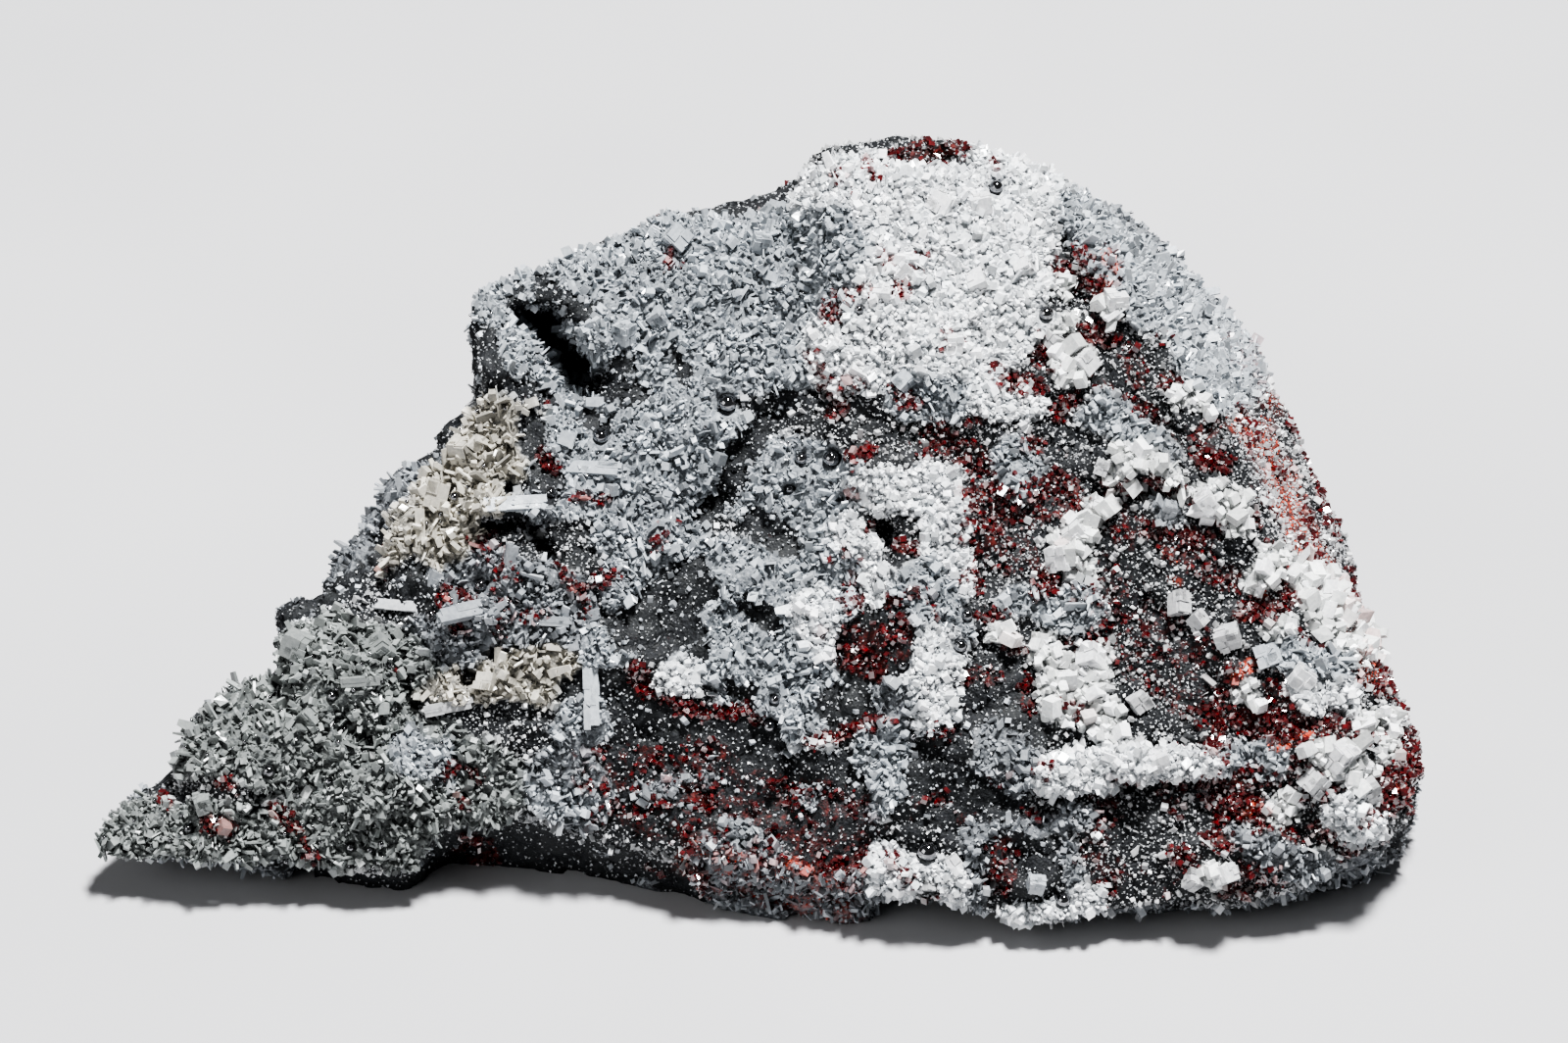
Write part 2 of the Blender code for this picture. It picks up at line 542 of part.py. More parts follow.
def front_spot(front, u, v):
    """The point of the face nearest to (u, v) and the outward direction there."""
    centre = from_face(u, v, 0.0)
    sight = from_face(0.0, 0.0, -SIGHT_DISTANCE)
    ray = (centre - sight) / np.linalg.norm(centre - sight)
    offset = front - sight
    along = offset @ ray
    distance = np.linalg.norm(offset - along[..., None] * ray, axis=-1)
    row, column = np.unravel_index(np.argmin(distance), distance.shape)
    row = int(np.clip(row, 1, front.shape[0] - 2))
    column = int(np.clip(column, 1, front.shape[1] - 2))
    across = front[row + 1, column] - front[row - 1, column]
    up = front[row, column + 1] - front[row, column - 1]
    outward = np.cross(across, up)
    return Vector(front[row, column]), Vector(outward / np.linalg.norm(outward))


def mesh_object(name, mesh_data, collection, material=None):
    """Puts a bmesh into a new object and frees it."""
    mesh = bpy.data.meshes.new(name)
    mesh_data.to_mesh(mesh)
    mesh_data.free()
    made = bpy.data.objects.new(name, mesh)
    if material:
        mesh.materials.append(material)
    collection.objects.link(made)
    return made


def block_loft(grid):
    """The block as a loft between its unlike sections, closed by a fan at the tail tip and the right
    end."""
    rows, loop, _ = grid.shape
    loft = bmesh.new()
    points = [[loft.verts.new(Vector(point) * MM) for point in row] for row in grid]
    for lower_row, upper_row in zip(points, points[1:]):
        for step in range(loop):
            after = (step + 1) % loop
            loft.faces.new((lower_row[step], upper_row[step], upper_row[after], lower_row[after]))
    for ring, pole_row, turned in ((points[0], grid[0], True), (points[-1], grid[-1], False)):
        pole = loft.verts.new(Vector(pole_row.mean(axis=0)) * MM)
        for step in range(loop):
            after = (step + 1) % loop
            corner = (ring[step], ring[after], pole)
            loft.faces.new(corner if turned else corner[::-1])
    loft.normal_update()
    bmesh.ops.recalc_face_normals(loft, faces=loft.faces)
    return loft


def crystal_frame(outward, lean, spin):
    """Three axes for a crystal: its long axis leans from the outward direction, turned by spin."""
    base = outward.orthogonal().normalized()
    base.rotate(Matrix.Rotation(spin, 3, outward))
    axis = (outward + base * lean).normalized()
    side = axis.cross(base).normalized()
    return side, axis.cross(side).normalized(), axis


def add_rhomb(crystals, spot, outward, size, lean, spin):
    """A rhombohedron: a cube whose three edges close up round the axis that stands on the rock."""
    side, other, axis = crystal_frame(outward, lean, spin)
    edges = []
    for turn in (0.0, 2.0 * math.pi / 3.0, 4.0 * math.pi / 3.0):
        outer = side * math.cos(turn) + other * math.sin(turn)
        edges.append((outer * RHOMB_EDGE[0] + axis * RHOMB_EDGE[1]).normalized() * size)
    shear = Matrix((edges[0], edges[1], edges[2])).transposed().to_4x4()
    place = Matrix.Translation((spot + outward * size * CRYSTAL_ROOT) * MM)
    bmesh.ops.create_cube(crystals, size=MM, matrix=place @ shear)


def add_blade(crystals, spot, outward, length, flat_turn, lean):
    """A bladed crystal: a long flat box that lies against the rock along the face."""
    right = Vector((1.0, 0.0, 0.0))
    up_face = Vector((0.0, math.sin(FACE_SLOPE), math.cos(FACE_SLOPE)))
    along = right * math.cos(flat_turn) + up_face * math.sin(flat_turn) + outward * lean
    along.normalize()
    width = outward.cross(along).normalized()
    thick = along.cross(width)
    wide, deep = BLADE_SECTION[0] * length, BLADE_SECTION[1] * length
    shape = Matrix((along * length, width * wide, thick * deep)).transposed()
    place = Matrix.Translation((spot + outward * deep * 0.3) * MM)
    bmesh.ops.create_cube(crystals, size=MM, matrix=place @ shape.to_4x4())


def crystal_cutter(front, collection):
    """All the larger crystals, in one object that is joined to the block."""
    chance = np.random.default_rng(CRYSTAL_SEED)
    crystals = bmesh.new()
    for u, v, size, kind in LONE_CRYSTALS:
        spot, outward = front_spot(front, u, v)
        lean, spin = chance.uniform(-0.35, 0.35), chance.uniform(0.0, 2.0 * math.pi)
        if kind == "rhomb":
            add_rhomb(crystals, spot, outward, size, lean, spin)
        else:
            turn = 0.15 + 0.5 * lean + (math.pi / 2.0 if kind == "upright" else 0.0)
            add_blade(crystals, spot, outward, size, turn, 0.5 * lean)
    bmesh.ops.recalc_face_normals(crystals, faces=crystals.faces)
    return guide(mesh_object("crystals_to_join", crystals, collection))


def guide(made):
    """Marks an object as one that only shapes others."""
    made.hide_render = True
    made.display_type = "WIRE"
    return made


def droplet_places(matrix):
    """Centre, outward direction and radius of each droplet: where the sight line through its place on
    the face first meets the crusted rock, it lies a share of its radius in front of the surface."""
    bpy.context.view_layer.update()
    surface = BVHTree.FromObject(matrix, bpy.context.evaluated_depsgraph_get())
    eye = Vector(from_face(0.0, 0.0, -SIGHT_DISTANCE)) * MM
    places = []
    for u, v, radius in DROPLETS:
        sight = (Vector(from_face(u, v, 0.0)) * MM - eye).normalized()
        spot, normal, _, _ = surface.ray_cast(eye, sight)
        outward = (normal - 2.0 * sight).normalized()
        places.append((spot / MM - sight * radius * DROPLET_LIFT, outward, radius))
    return places


def pocket_cutter(places, collection):
    """A small angular pocket for each droplet to lie in."""
    pockets = bmesh.new()
    for centre, _, radius in places:
        reach = (radius + DROPLET_GAP) / ICOSAHEDRON_INNER
        bmesh.ops.create_icosphere(
            pockets, subdivisions=1, radius=reach * MM, matrix=Matrix.Translation(centre * MM)
        )
    return guide(mesh_object("droplet_pockets", pockets, collection))


def bed_cutter(collection):
    """The box below z = 0 that leaves the flat underside."""
    bed = bmesh.new()
    bmesh.ops.create_cube(bed, size=BED_BOX, matrix=Matrix.Translation((0.0, 0.0, -BED_BOX / 2.0)))
    return guide(mesh_object("bed", bed, collection))


def add_boolean(target, cutter, operation, overlapping=False):
    """A Boolean modifier with the exact solver."""
    modifier = target.modifiers.new(f"{operation.lower()} {cutter.name}", "BOOLEAN")
    modifier.operation = operation
    modifier.solver = "EXACT"
    modifier.use_self = overlapping
    modifier.object = cutter


def build_matrix(grid, parts, cutters):
    """The rock with its flat underside and the crystals that grew on its face."""
    stone = principled("grey crusted rock", (0.42, 0.42, 0.42), 0.7, 0.0)
    matrix = mesh_object("matrix", block_loft(grid), parts, stone)
    thin = matrix.modifiers.new("main facets", "DECIMATE")
    thin.ratio = FACETS_KEPT / (2.0 * grid.shape[0] * grid.shape[1])
    front = grid[:, :FACE_STEPS]
    add_boolean(matrix, bed_cutter(cutters), "DIFFERENCE")
    add_boolean(matrix, crystal_cutter(front, cutters), "UNION", overlapping=True)
    return matrix


def build_droplet(number, centre, outward, radius, parts, mercury):
    """One droplet: a sphere, slightly flattened towards the rock."""
    drop = bmesh.new()
    bmesh.ops.create_icosphere(drop, subdivisions=2, radius=radius * MM)
    droplet = mesh_object(f"mercury_{number:02d}", drop, parts, mercury)
    droplet.data.shade_smooth()
    droplet.location = centre * MM
    droplet.rotation_euler = Vector((0.0, 0.0, 1.0)).rotation_difference(outward).to_euler()
    droplet.scale = (1.0, 1.0, DROPLET_SAG)
    return droplet


def main():
    clear_scene()
    parts = new_collection(COLLECTION)
    cutters = new_collection("shaping")
    grid = block_grid(
        ROWS_PER_STATION, FACE_STEPS, FLANK_STEPS, TOP_STEPS, BACK_STEPS, BED_STEPS, UNDERCUT_STEPS
    )
    matrix = build_matrix(grid, parts, cutters)
    places = droplet_places(matrix)
    add_boolean(matrix, pocket_cutter(places, cutters), "DIFFERENCE")
    mercury = principled("liquid mercury", (0.78, 0.78, 0.80), 0.04, 1.0)
    for number, (centre, outward, radius) in enumerate(places, start=1):
        build_droplet(number, centre, outward, radius, parts, mercury)


main()
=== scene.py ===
# %% [markdown]
# # Native mercury on matrix
# The real object is a broken block of grey rock, about 100 mm long. Its leaning front is crusted with
# pale carbonate crystals, dark red cinnabar sits in the hollows, and beads of liquid mercury lie loose
# among the crystals. The construction model holds the block and its larger droplets at their real
# size. This script makes their looks: every crystal, speck and bead that the eye sees from close by.
#
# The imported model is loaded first, because it is the fixed frame that every piece is fitted to.

import math

import bpy
import numpy as np
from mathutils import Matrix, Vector


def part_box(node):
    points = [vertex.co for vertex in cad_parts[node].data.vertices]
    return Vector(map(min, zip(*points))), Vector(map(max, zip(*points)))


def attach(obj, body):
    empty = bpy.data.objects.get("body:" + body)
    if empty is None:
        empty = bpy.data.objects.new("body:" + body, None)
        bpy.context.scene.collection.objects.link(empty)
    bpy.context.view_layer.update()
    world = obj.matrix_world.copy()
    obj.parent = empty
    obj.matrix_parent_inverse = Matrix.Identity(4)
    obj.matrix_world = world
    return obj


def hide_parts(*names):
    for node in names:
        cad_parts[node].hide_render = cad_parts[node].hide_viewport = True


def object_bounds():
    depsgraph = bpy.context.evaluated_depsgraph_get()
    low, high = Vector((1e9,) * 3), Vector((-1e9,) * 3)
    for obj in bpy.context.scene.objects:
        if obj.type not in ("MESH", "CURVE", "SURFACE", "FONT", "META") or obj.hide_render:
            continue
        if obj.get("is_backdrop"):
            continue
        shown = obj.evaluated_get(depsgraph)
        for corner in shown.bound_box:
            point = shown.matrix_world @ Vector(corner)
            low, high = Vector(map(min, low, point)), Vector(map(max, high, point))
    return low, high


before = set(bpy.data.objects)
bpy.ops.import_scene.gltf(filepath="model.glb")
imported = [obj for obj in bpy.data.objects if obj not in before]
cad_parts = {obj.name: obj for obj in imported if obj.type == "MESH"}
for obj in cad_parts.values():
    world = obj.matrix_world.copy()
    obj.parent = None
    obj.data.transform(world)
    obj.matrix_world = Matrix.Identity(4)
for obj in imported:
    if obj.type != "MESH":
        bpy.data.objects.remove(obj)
PACKED_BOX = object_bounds()
MM = 0.001
print("nodes:", len(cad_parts), "box:", *(np.round(np.array(corner) / MM, 1) for corner in PACKED_BOX))

# %% [markdown]
# ## Where things are
# A stone has no edges to measure from, so its places are given on the plane of its crusted face: u to
# the right, v up the face and w behind it, in millimetres. The line square to the face stands 40
# degrees above the horizon, and widths are as seen from 600 mm in front. That is also where the camera
# stands, so a place on the face and a place in the picture are the same thing. The camera could be
# turned by hand until it fits, but worked out like this it can't drift.

# %% The face's own plane and the camera
FACE_SLOPE = math.radians(40.0)
SIGHT_DISTANCE = 600.0
FACE_CENTRE = (1.8, -12.5, 26.5)
VIEW_WIDTH = 118.96  # millimetres across the picture, on the plane of the face
NEARLY_NOTHING = 1e-9  # keeps a division from meeting zero
SENSOR_WIDTH = 36.0


def from_face(u, v, w):
    """Upright millimetres of a face point: the sight line through (u, v) is followed to depth w, where
    things are wider by 1 + w / SIGHT_DISTANCE, and the leaning axes are turned upright."""
    widening = 1.0 + np.asarray(w) / SIGHT_DISTANCE
    across = np.asarray(u) * widening
    up = np.asarray(v) * widening
    x = FACE_CENTRE[0] + across
    y = FACE_CENTRE[1] + up * math.sin(FACE_SLOPE) + w * math.cos(FACE_SLOPE)
    z = FACE_CENTRE[2] + up * math.cos(FACE_SLOPE) - w * math.sin(FACE_SLOPE)
    return np.stack(np.broadcast_arrays(x, y, z), axis=-1)


def sight_place(points):
    """u and v of upright points, the other way round: w is how far a point lies behind the plane, and
    its distances across and up are divided by 1 + w / SIGHT_DISTANCE."""
    x, y, z = np.moveaxis(points - np.array(FACE_CENTRE), -1, 0)
    behind = y * math.cos(FACE_SLOPE) - z * math.sin(FACE_SLOPE)
    widening = 1.0 + behind / SIGHT_DISTANCE
    up = y * math.sin(FACE_SLOPE) + z * math.cos(FACE_SLOPE)
    return x / widening, up / widening


eye = Vector(from_face(0.0, 0.0, -SIGHT_DISTANCE))
aim = Vector(FACE_CENTRE)
camera_data = bpy.data.cameras.new("camera")
camera_data.sensor_width = SENSOR_WIDTH
camera_data.lens = SENSOR_WIDTH * SIGHT_DISTANCE / VIEW_WIDTH
camera = bpy.data.objects.new("camera", camera_data)
camera.location = eye * MM
camera.rotation_euler = (aim - eye).to_track_quat("-Z", "Y").to_euler()
bpy.context.scene.collection.objects.link(camera)
bpy.context.scene.camera = camera
print("camera at", tuple(round(c, 1) for c in eye), "mm, lens", round(camera_data.lens, 1), "mm")

# %% [markdown]
# ## The shape of the block
# The block was broken out of a vein: a lumpy crusted face in front, and flat hammer breaks behind. It
# could be sculpted by hand, or displaced from a ball. Here it is one surface of two parameters, the
# same one that the solid was cut from: along the block run 76 stations, and round each station runs a
# closed loop up the face, over the top, down the back and along the bed. The rows below give the
# outline of the face, station by station, as u and v of its lower edge and of its upper silhouette.

# %% The outline and depths of the block
STATIONS = (
    (-51.8, -24.4, -51.9, -24.1), (-50.9, -25.1, -50.9, -22.8), (-49.7, -25.2, -49.5, -21.4),
    (-48.3, -25.1, -47.6, -20.7), (-46.9, -25.1, -46.2, -20.2), (-45.0, -25.1, -45.8, -18.4),
    (-43.0, -25.3, -44.9, -15.8), (-41.0, -25.6, -43.6, -14.1), (-39.0, -25.2, -41.6, -12.8),
    (-37.2, -25.1, -39.9, -12.2), (-35.5, -25.4, -38.1, -12.3), (-33.8, -25.8, -37.2, -11.4),
    (-32.6, -26.2, -38.2, -9.1), (-31.4, -26.5, -37.3, -8.0), (-30.1, -26.5, -35.3, -7.7),
    (-29.1, -26.2, -33.8, -6.7), (-28.1, -25.6, -32.0, -5.8), (-27.2, -24.4, -31.3, -4.8),
    (-26.5, -23.3, -30.4, -5.2), (-25.3, -22.6, -30.0, -3.1), (-23.9, -22.2, -29.4, -2.1),
    (-22.3, -22.8, -29.4, -0.2), (-20.8, -22.3, -28.8, 1.3), (-19.1, -22.4, -26.5, 2.8),
    (-17.4, -23.0, -25.9, 3.9), (-15.6, -23.4, -24.5, 4.9), (-13.8, -23.9, -24.5, 6.8),
    (-12.0, -24.2, -23.9, 8.0), (-10.4, -25.1, -23.5, 9.4), (-9.0, -25.7, -23.5, 10.9),
    (-7.7, -26.2, -23.7, 12.8), (-6.8, -26.8, -24.0, 14.8), (-6.2, -28.3, -22.9, 16.8),
    (-5.2, -29.1, -21.0, 17.9), (-3.7, -29.4, -18.4, 18.6), (-2.1, -29.8, -15.8, 19.8),
    (-0.5, -30.1, -12.9, 20.7), (1.1, -29.7, -10.9, 21.6), (2.4, -29.4, -9.0, 22.9),
    (3.7, -30.1, -7.3, 22.4), (4.8, -30.7, -5.2, 22.4), (6.3, -30.6, -2.7, 22.1),
    (6.9, -28.8, -1.9, 22.6), (7.5, -28.0, -0.1, 23.1), (8.6, -28.2, 0.9, 23.8),
    (9.7, -28.3, 1.3, 25.0), (11.3, -28.4, 1.6, 26.6), (12.6, -28.3, 2.6, 28.7),
    (14.1, -29.1, 3.2, 30.2), (15.2, -29.3, 4.6, 29.7), (16.5, -29.6, 6.7, 28.6),
    (18.1, -30.1, 9.1, 29.0), (19.6, -30.3, 11.8, 30.0), (21.2, -30.4, 13.5, 29.3),
    (22.3, -29.9, 15.0, 28.2), (23.9, -29.1, 17.1, 27.4), (25.7, -29.1, 19.4, 26.5),
    (27.5, -28.8, 21.6, 25.1), (29.4, -28.6, 23.2, 23.9), (31.2, -28.6, 25.7, 21.5),
    (32.9, -28.9, 28.4, 20.4), (34.6, -28.6, 30.1, 18.4), (36.4, -28.2, 32.0, 16.5),
    (37.9, -27.9, 34.1, 14.6), (39.0, -27.4, 36.8, 13.6), (40.3, -26.5, 38.4, 11.8),
    (41.6, -25.7, 39.8, 9.1), (43.0, -24.6, 40.2, 6.5), (44.2, -24.2, 40.9, 3.5),
    (45.2, -23.9, 41.9, 0.0), (46.1, -23.4, 43.0, -2.8), (46.8, -23.0, 43.6, -6.0),
    (47.3, -22.2, 44.6, -8.6), (47.4, -20.8, 45.9, -11.6), (48.0, -19.6, 47.3, -14.9),
    (48.2, -18.1, 48.2, -17.8),
)

# The ridge between the face and the right flank: station, u, v.
RIDGE = (
    (57, 21.2, 25.3), (58, 22.3, 23.0), (59, 23.6, 20.6), (60, 26.0, 18.6), (61, 27.1, 16.9),
    (62, 28.4, 14.1), (63, 30.7, 11.4), (64, 32.4, 9.5), (65, 34.0, 6.8), (66, 34.9, 4.6),
    (67, 35.7, 2.8), (68, 36.6, 0.9), (69, 37.5, -1.5), (70, 39.6, -4.2), (71, 41.0, -5.9),
    (72, 42.8, -8.3), (73, 44.6, -10.4), (74, 46.5, -13.8), (75, 48.2, -17.9),
)

# How far behind the face's plane its lower edge, ridge and silhouette lie: station, w.
LOWER_DEPTH = (
    (0, 5.0), (6, 4.0), (14, 4.0), (20, 4.5), (26, 3.2), (34, 2.6), (50, 1.6), (58, 1.0), (68, 1.5),
    (72, 4.0), (75, 6.0),
)
RIDGE_DEPTH = ((57, 6.0), (59, 3.0), (62, 1.2), (66, 0.6), (70, 1.2), (73, 3.5), (75, 6.0))
UPPER_DEPTH = (
    (0, 5.0), (10, 6.0), (16, 5.0), (20, 6.0), (26, 5.0), (31, 5.0), (36, 6.0), (44, 5.0), (46, 3.0),
    (48, 3.0), (50, 5.0), (52, 7.0), (56, 8.0), (57, 9.0), (58, 11.0), (59, 14.0), (60, 18.0),
    (61, 21.0), (62, 24.0), (64, 27.0), (66, 28.0), (68, 26.0), (70, 21.0), (72, 14.0), (74, 8.0),
    (75, 6.0),
)

# The hidden side: station, shoulder y and z, back foot y, front foot y, height of the feet.
HIDDEN = (
    (0, -11.0, 4.6, -11.0, -11.8, 4.0), (5, -4.0, 7.0, -4.0, -11.0, 2.0),
    (10, 3.0, 10.5, 4.0, -11.0, 0.8), (15, 9.0, 13.5, 11.0, -11.5, -1.6),
    (20, 14.0, 16.5, 17.0, -9.0, -1.6), (25, 21.0, 20.0, 25.0, -10.0, -1.6),
    (31, 29.0, 25.0, 33.0, -13.0, -1.6), (36, 35.0, 29.0, 40.0, -14.0, -1.6),
    (44, 39.0, 31.0, 44.0, -13.0, -1.6), (50, 42.0, 33.0, 47.0, -14.0, -1.6),
    (56, 43.0, 30.0, 48.0, -14.0, -1.6), (60, 42.0, 24.0, 46.0, -13.5, -1.6),
    (64, 36.0, 15.0, 38.0, -13.0, -1.6), (68, 27.0, 9.0, 28.0, -12.0, -1.6),
    (72, 9.0, 7.0, 10.0, -9.0, -1.6), (75, -5.0, 7.0, -5.0, -7.0, 4.0),
)

# Broken flats of the hidden side: azimuth and elevation in degrees, and distance.
FRACTURES = (
    (60.0, 20.0, 39.5), (80.0, 40.0, 38.5), (100.0, 5.0, 26.0), (128.0, 22.0, 27.5),
    (112.0, 42.0, 34.8), (30.0, 5.0, 42.5), (60.0, -25.0, 36.5), (100.0, -30.0, 23.5),
    (140.0, 20.0, 29.5), (20.0, 20.0, 45.5),
)
RIM_WIDTH = 1.3
RIM_DROP = 2.0
FACE_SWELL = 2.6
print("stations:", len(STATIONS), "broken flats:", len(FRACTURES))

# %% [markdown]
# Ledges, pits and cracks are strokes, as if pressed in with a finger: each row has the two ends of a
# line on the face, its half width, the width of the slope round it, and its height.

# %% Ledges, lumps, pits and cracks
RELIEF = (
    # the dark hollow near the upper left corner, its lit ramp and its raised lip
    (-20.4, 16.2, -17.7, 14.8, 1.1, 0.7, -5.5), (-17.7, 14.8, -15.0, 11.0, 1.2, 0.8, -5.0),
    (-19.7, 13.9, -17.0, 10.6, 1.2, 2.4, -2.2), (-19.2, 18.0, -16.6, 16.2, 0.8, 1.2, 1.3),
    (-16.6, 16.2, -14.2, 13.6, 0.5, 1.0, 1.1), (-22.6, 15.4, -21.9, 12.0, 0.7, 1.4, 1.4),
    # the ledge over a black slot, and the small pit above it
    (-22.3, 0.9, -18.2, 1.3, 0.5, 0.6, 1.2), (-22.3, -0.5, -18.3, 0.0, 0.35, 0.4, -3.0),
    (-18.8, -1.0, -17.8, -2.8, 0.4, 0.6, -2.4), (-21.3, 5.2, -20.9, 5.0, 0.5, 0.4, -2.6),
    # gaps and steps between the clear crystals on the left
    (-28.8, -9.0, -28.4, -13.8, 0.4, 0.7, -2.0), (-22.5, -9.4, -21.4, -10.2, 0.5, 0.6, -1.8),
    (-24.4, -11.4, -23.0, -12.2, 0.4, 0.5, -1.6), (-33.6, -15.0, -31.0, -17.2, 0.4, 0.9, -1.6),
    (-26.6, -8.2, -22.6, -7.2, 0.5, 0.9, 0.9), (-36.4, -9.4, -33.0, -11.6, 1.4, 1.6, 1.2),
    (-42.0, -18.6, -38.4, -17.2, 1.6, 1.8, 1.2), (-30.8, -20.4, -27.4, -18.0, 1.2, 1.6, 1.1),
    # the dark vein through the middle and the holes beside the white crust
    (0.0, 9.0, -5.6, 1.6, 0.7, 1.0, -0.9), (-5.6, 1.6, -8.2, -8.0, 0.8, 1.2, -0.9),
    (5.3, 2.2, 7.6, -1.0, 0.7, 0.9, -1.1), (7.6, -1.0, 6.0, -4.8, 0.8, 0.9, -1.1),
    (3.6, -4.0, 2.4, -16.5, 0.9, 1.4, -0.4),
    # the white crust that stands above it
    (9.6, 22.0, 17.0, 12.0, 5.0, 3.0, 1.0), (5.6, 13.0, 12.0, 10.0, 2.4, 2.4, 0.5),
    (11.8, -8.8, 9.0, -20.0, 1.8, 1.0, 0.8), (2.4, -18.0, -1.4, -13.0, 0.8, 0.8, 0.7),
    # the crystal-lined crack on the right and the ledge that roofs it
    (23.2, 4.6, 29.6, 3.8, 0.7, 0.8, 0.9), (24.9, 2.4, 30.6, 1.9, 0.4, 0.5, -1.5),
    (30.9, 1.9, 33.2, -0.6, 0.4, 0.6, -1.4), (33.4, 2.2, 34.4, -0.6, 0.7, 1.0, 0.8),
    # the white shelf low on the right, with its shadowed underside
    (20.6, -19.3, 26.6, -18.5, 0.8, 0.5, 1.7), (26.6, -18.5, 32.8, -17.8, 0.6, 0.5, 1.5),
    (24.6, -20.4, 32.6, -19.3, 0.5, 0.5, -0.8),
    # lumps at the lower right corner
    (34.4, -9.0, 39.6, -12.2, 1.8, 1.6, 1.0), (40.0, -16.6, 44.4, -20.4, 2.0, 1.8, 1.1),
    (31.0, -26.0, 37.0, -24.8, 1.2, 1.4, 0.9),
    # the square grey patch and the rim that hangs over the lower edge
    (16.4, -24.4, 18.8, -26.4, 1.9, 0.7, 1.2), (6.6, -26.6, 14.4, -27.6, 0.7, 0.7, 1.1),
    # the lower block, set back below its crack
    (-11.9, -24.9, -5.8, -26.1, 0.3, 0.5, -1.4), (-5.8, -26.1, 6.0, -28.0, 0.35, 0.5, -1.0),
    (-5.0, -28.5, 5.4, -29.9, 1.5, 0.6, -2.8),
    # the thin band that slopes back between the two spurs of the upper rim
    (6.0, 28.2, 16.6, 27.6, 0.8, 1.2, -2.4),
)
print("strokes of relief:", len(RELIEF))

# %% [markdown]
# ## Unevenness
# Broken stone is rough at every size. Two kinds of noise are enough for it: a soft one, for lumps, and
# one of tilted facets, for breaks. Both start from fixed random numbers on a cubic lattice, so the
# stone is the same at each run and on each machine.

# %% Noise
FACE_LUMPS = ((8.5, 0.7, 3), (3.6, 0.35, 4))  # size of the cell, height, seed
FACE_FACETS = ((4.2, 0.45, 31), (2.1, 0.30, 32))
BLOCK_WARP = ((11.0, 1.5, 21), (4.5, 0.7, 26))
HIDDEN_FACETS = ((8.0, 0.9, 41), (3.6, 0.5, 42))
FACE_WARP_SHARE = 0.1
LATTICE_SHIFT = 1000.0  # keeps every lattice corner's number above zero
FACET_SLOPE = 1.1


def smooth_step(value):
    """0 below 0, 1 above 1 and 3 t^2 - 2 t^3 between."""
    clipped = np.clip(value, 0.0, 1.0)
    return clipped * clipped * (3.0 - 2.0 * clipped)


def lattice_number(corner, seed):
    """The fixed random number from 0 to 1 of each whole-numbered lattice corner."""
    x, y, z = np.moveaxis(corner, -1, 0)
    mixed = (x * 73856093) ^ (y * 19349663) ^ (z * 83492791) ^ (seed * 26544357)
    mixed = mixed & 0xFFFFFFFF
    mixed = ((mixed ^ (mixed >> 15)) * 1274126177) & 0xFFFFFFFF
    mixed = ((mixed ^ (mixed >> 13)) * 668265263) & 0xFFFFFFFF
    return ((mixed ^ (mixed >> 16)) & 0xFFFFFFFF) / 0xFFFFFFFF


def lattice_noise(points, cell, seed):
    """Smooth noise from -1 to 1: fixed random numbers on a cubic lattice of the given cell, blended
    between the eight corners round each point with the weight 3 t^2 - 2 t^3."""
    scaled = np.asarray(points) / cell + LATTICE_SHIFT
    corner = np.floor(scaled).astype(np.int64)
    part = smooth_step(scaled - corner)
    total = np.zeros(scaled.shape[:-1])
    for step in np.ndindex(2, 2, 2):
        weight = np.prod(np.where(np.array(step) == 1, part, 1.0 - part), axis=-1)
        total += weight * lattice_number(corner + np.array(step), seed)
    return 2.0 * total - 1.0


def facet_noise(points, cell, seed):
    """Broken facets, from about -1 to 1: space is parted among seeds, one in each cube of the given
    cell, and each seed has a height and a slope of its own: value = height + slope . (p - seed)."""
    scaled = np.asarray(points) / cell + LATTICE_SHIFT
    corner = np.floor(scaled).astype(np.int64)
    nearest = np.full(scaled.shape[:-1], np.inf)
    value = np.zeros(scaled.shape[:-1])
    for step in np.ndindex(3, 3, 3):
        cube = corner + np.array(step) - 1
        drawn = [lattice_number(cube, seed + 100 * k) for k in range(7)]
        offset = scaled - cube - np.stack(drawn[:3], axis=-1)
        distance = (offset**2).sum(axis=-1)
        slope = 2.0 * np.stack(drawn[3:6], axis=-1) - 1.0
        plane = drawn[6] - 0.5 + FACET_SLOPE * (slope * offset).sum(axis=-1)
        closer = distance < nearest
        nearest = np.where(closer, distance, nearest)
        value = np.where(closer, plane, value)
    return value


def noise_sum(kind, points, layers):
    """The sum of several sizes of one kind of noise: layers of cell, height and seed."""
    return sum(height * kind(points, cell, seed) for cell, height, seed in layers)


print("soft noise at three points:", np.round(lattice_noise(np.eye(3) * 7.7, 2.0, 1), 2))

# %% [markdown]
# ## The skin as a grid
# A loft can be bridged by hand between outlines, but a grid of numbers is easier to refine: the solid
# took 46 steps up the face, and this skin takes 170, from the same functions. What repeats at every
# station is worked out for all stations at once.

# %% From stations to a grid
FACE_STEPS, FLANK_STEPS, TOP_STEPS, BACK_STEPS, BED_STEPS, UNDERCUT_STEPS = 170, 20, 40, 44, 20, 24
ROWS_PER_STATION = 4
RIM_FULL_HEIGHT, SWELL_FULL_HEIGHT = 12.0, 30.0  # a face lower than this has less of a rim, or swell
SWELL_POWER = 0.6
RIDGE_FADE = 1.5  # the relief fades out over this length under the ridge
STATIONS_AT_ENDS = 3.0  # and over this many stations at both ends of the block
THIN_LEFT, THIN_RIGHT = 16.0, 4.0  # stations over which the ends grow thick enough to be broken up


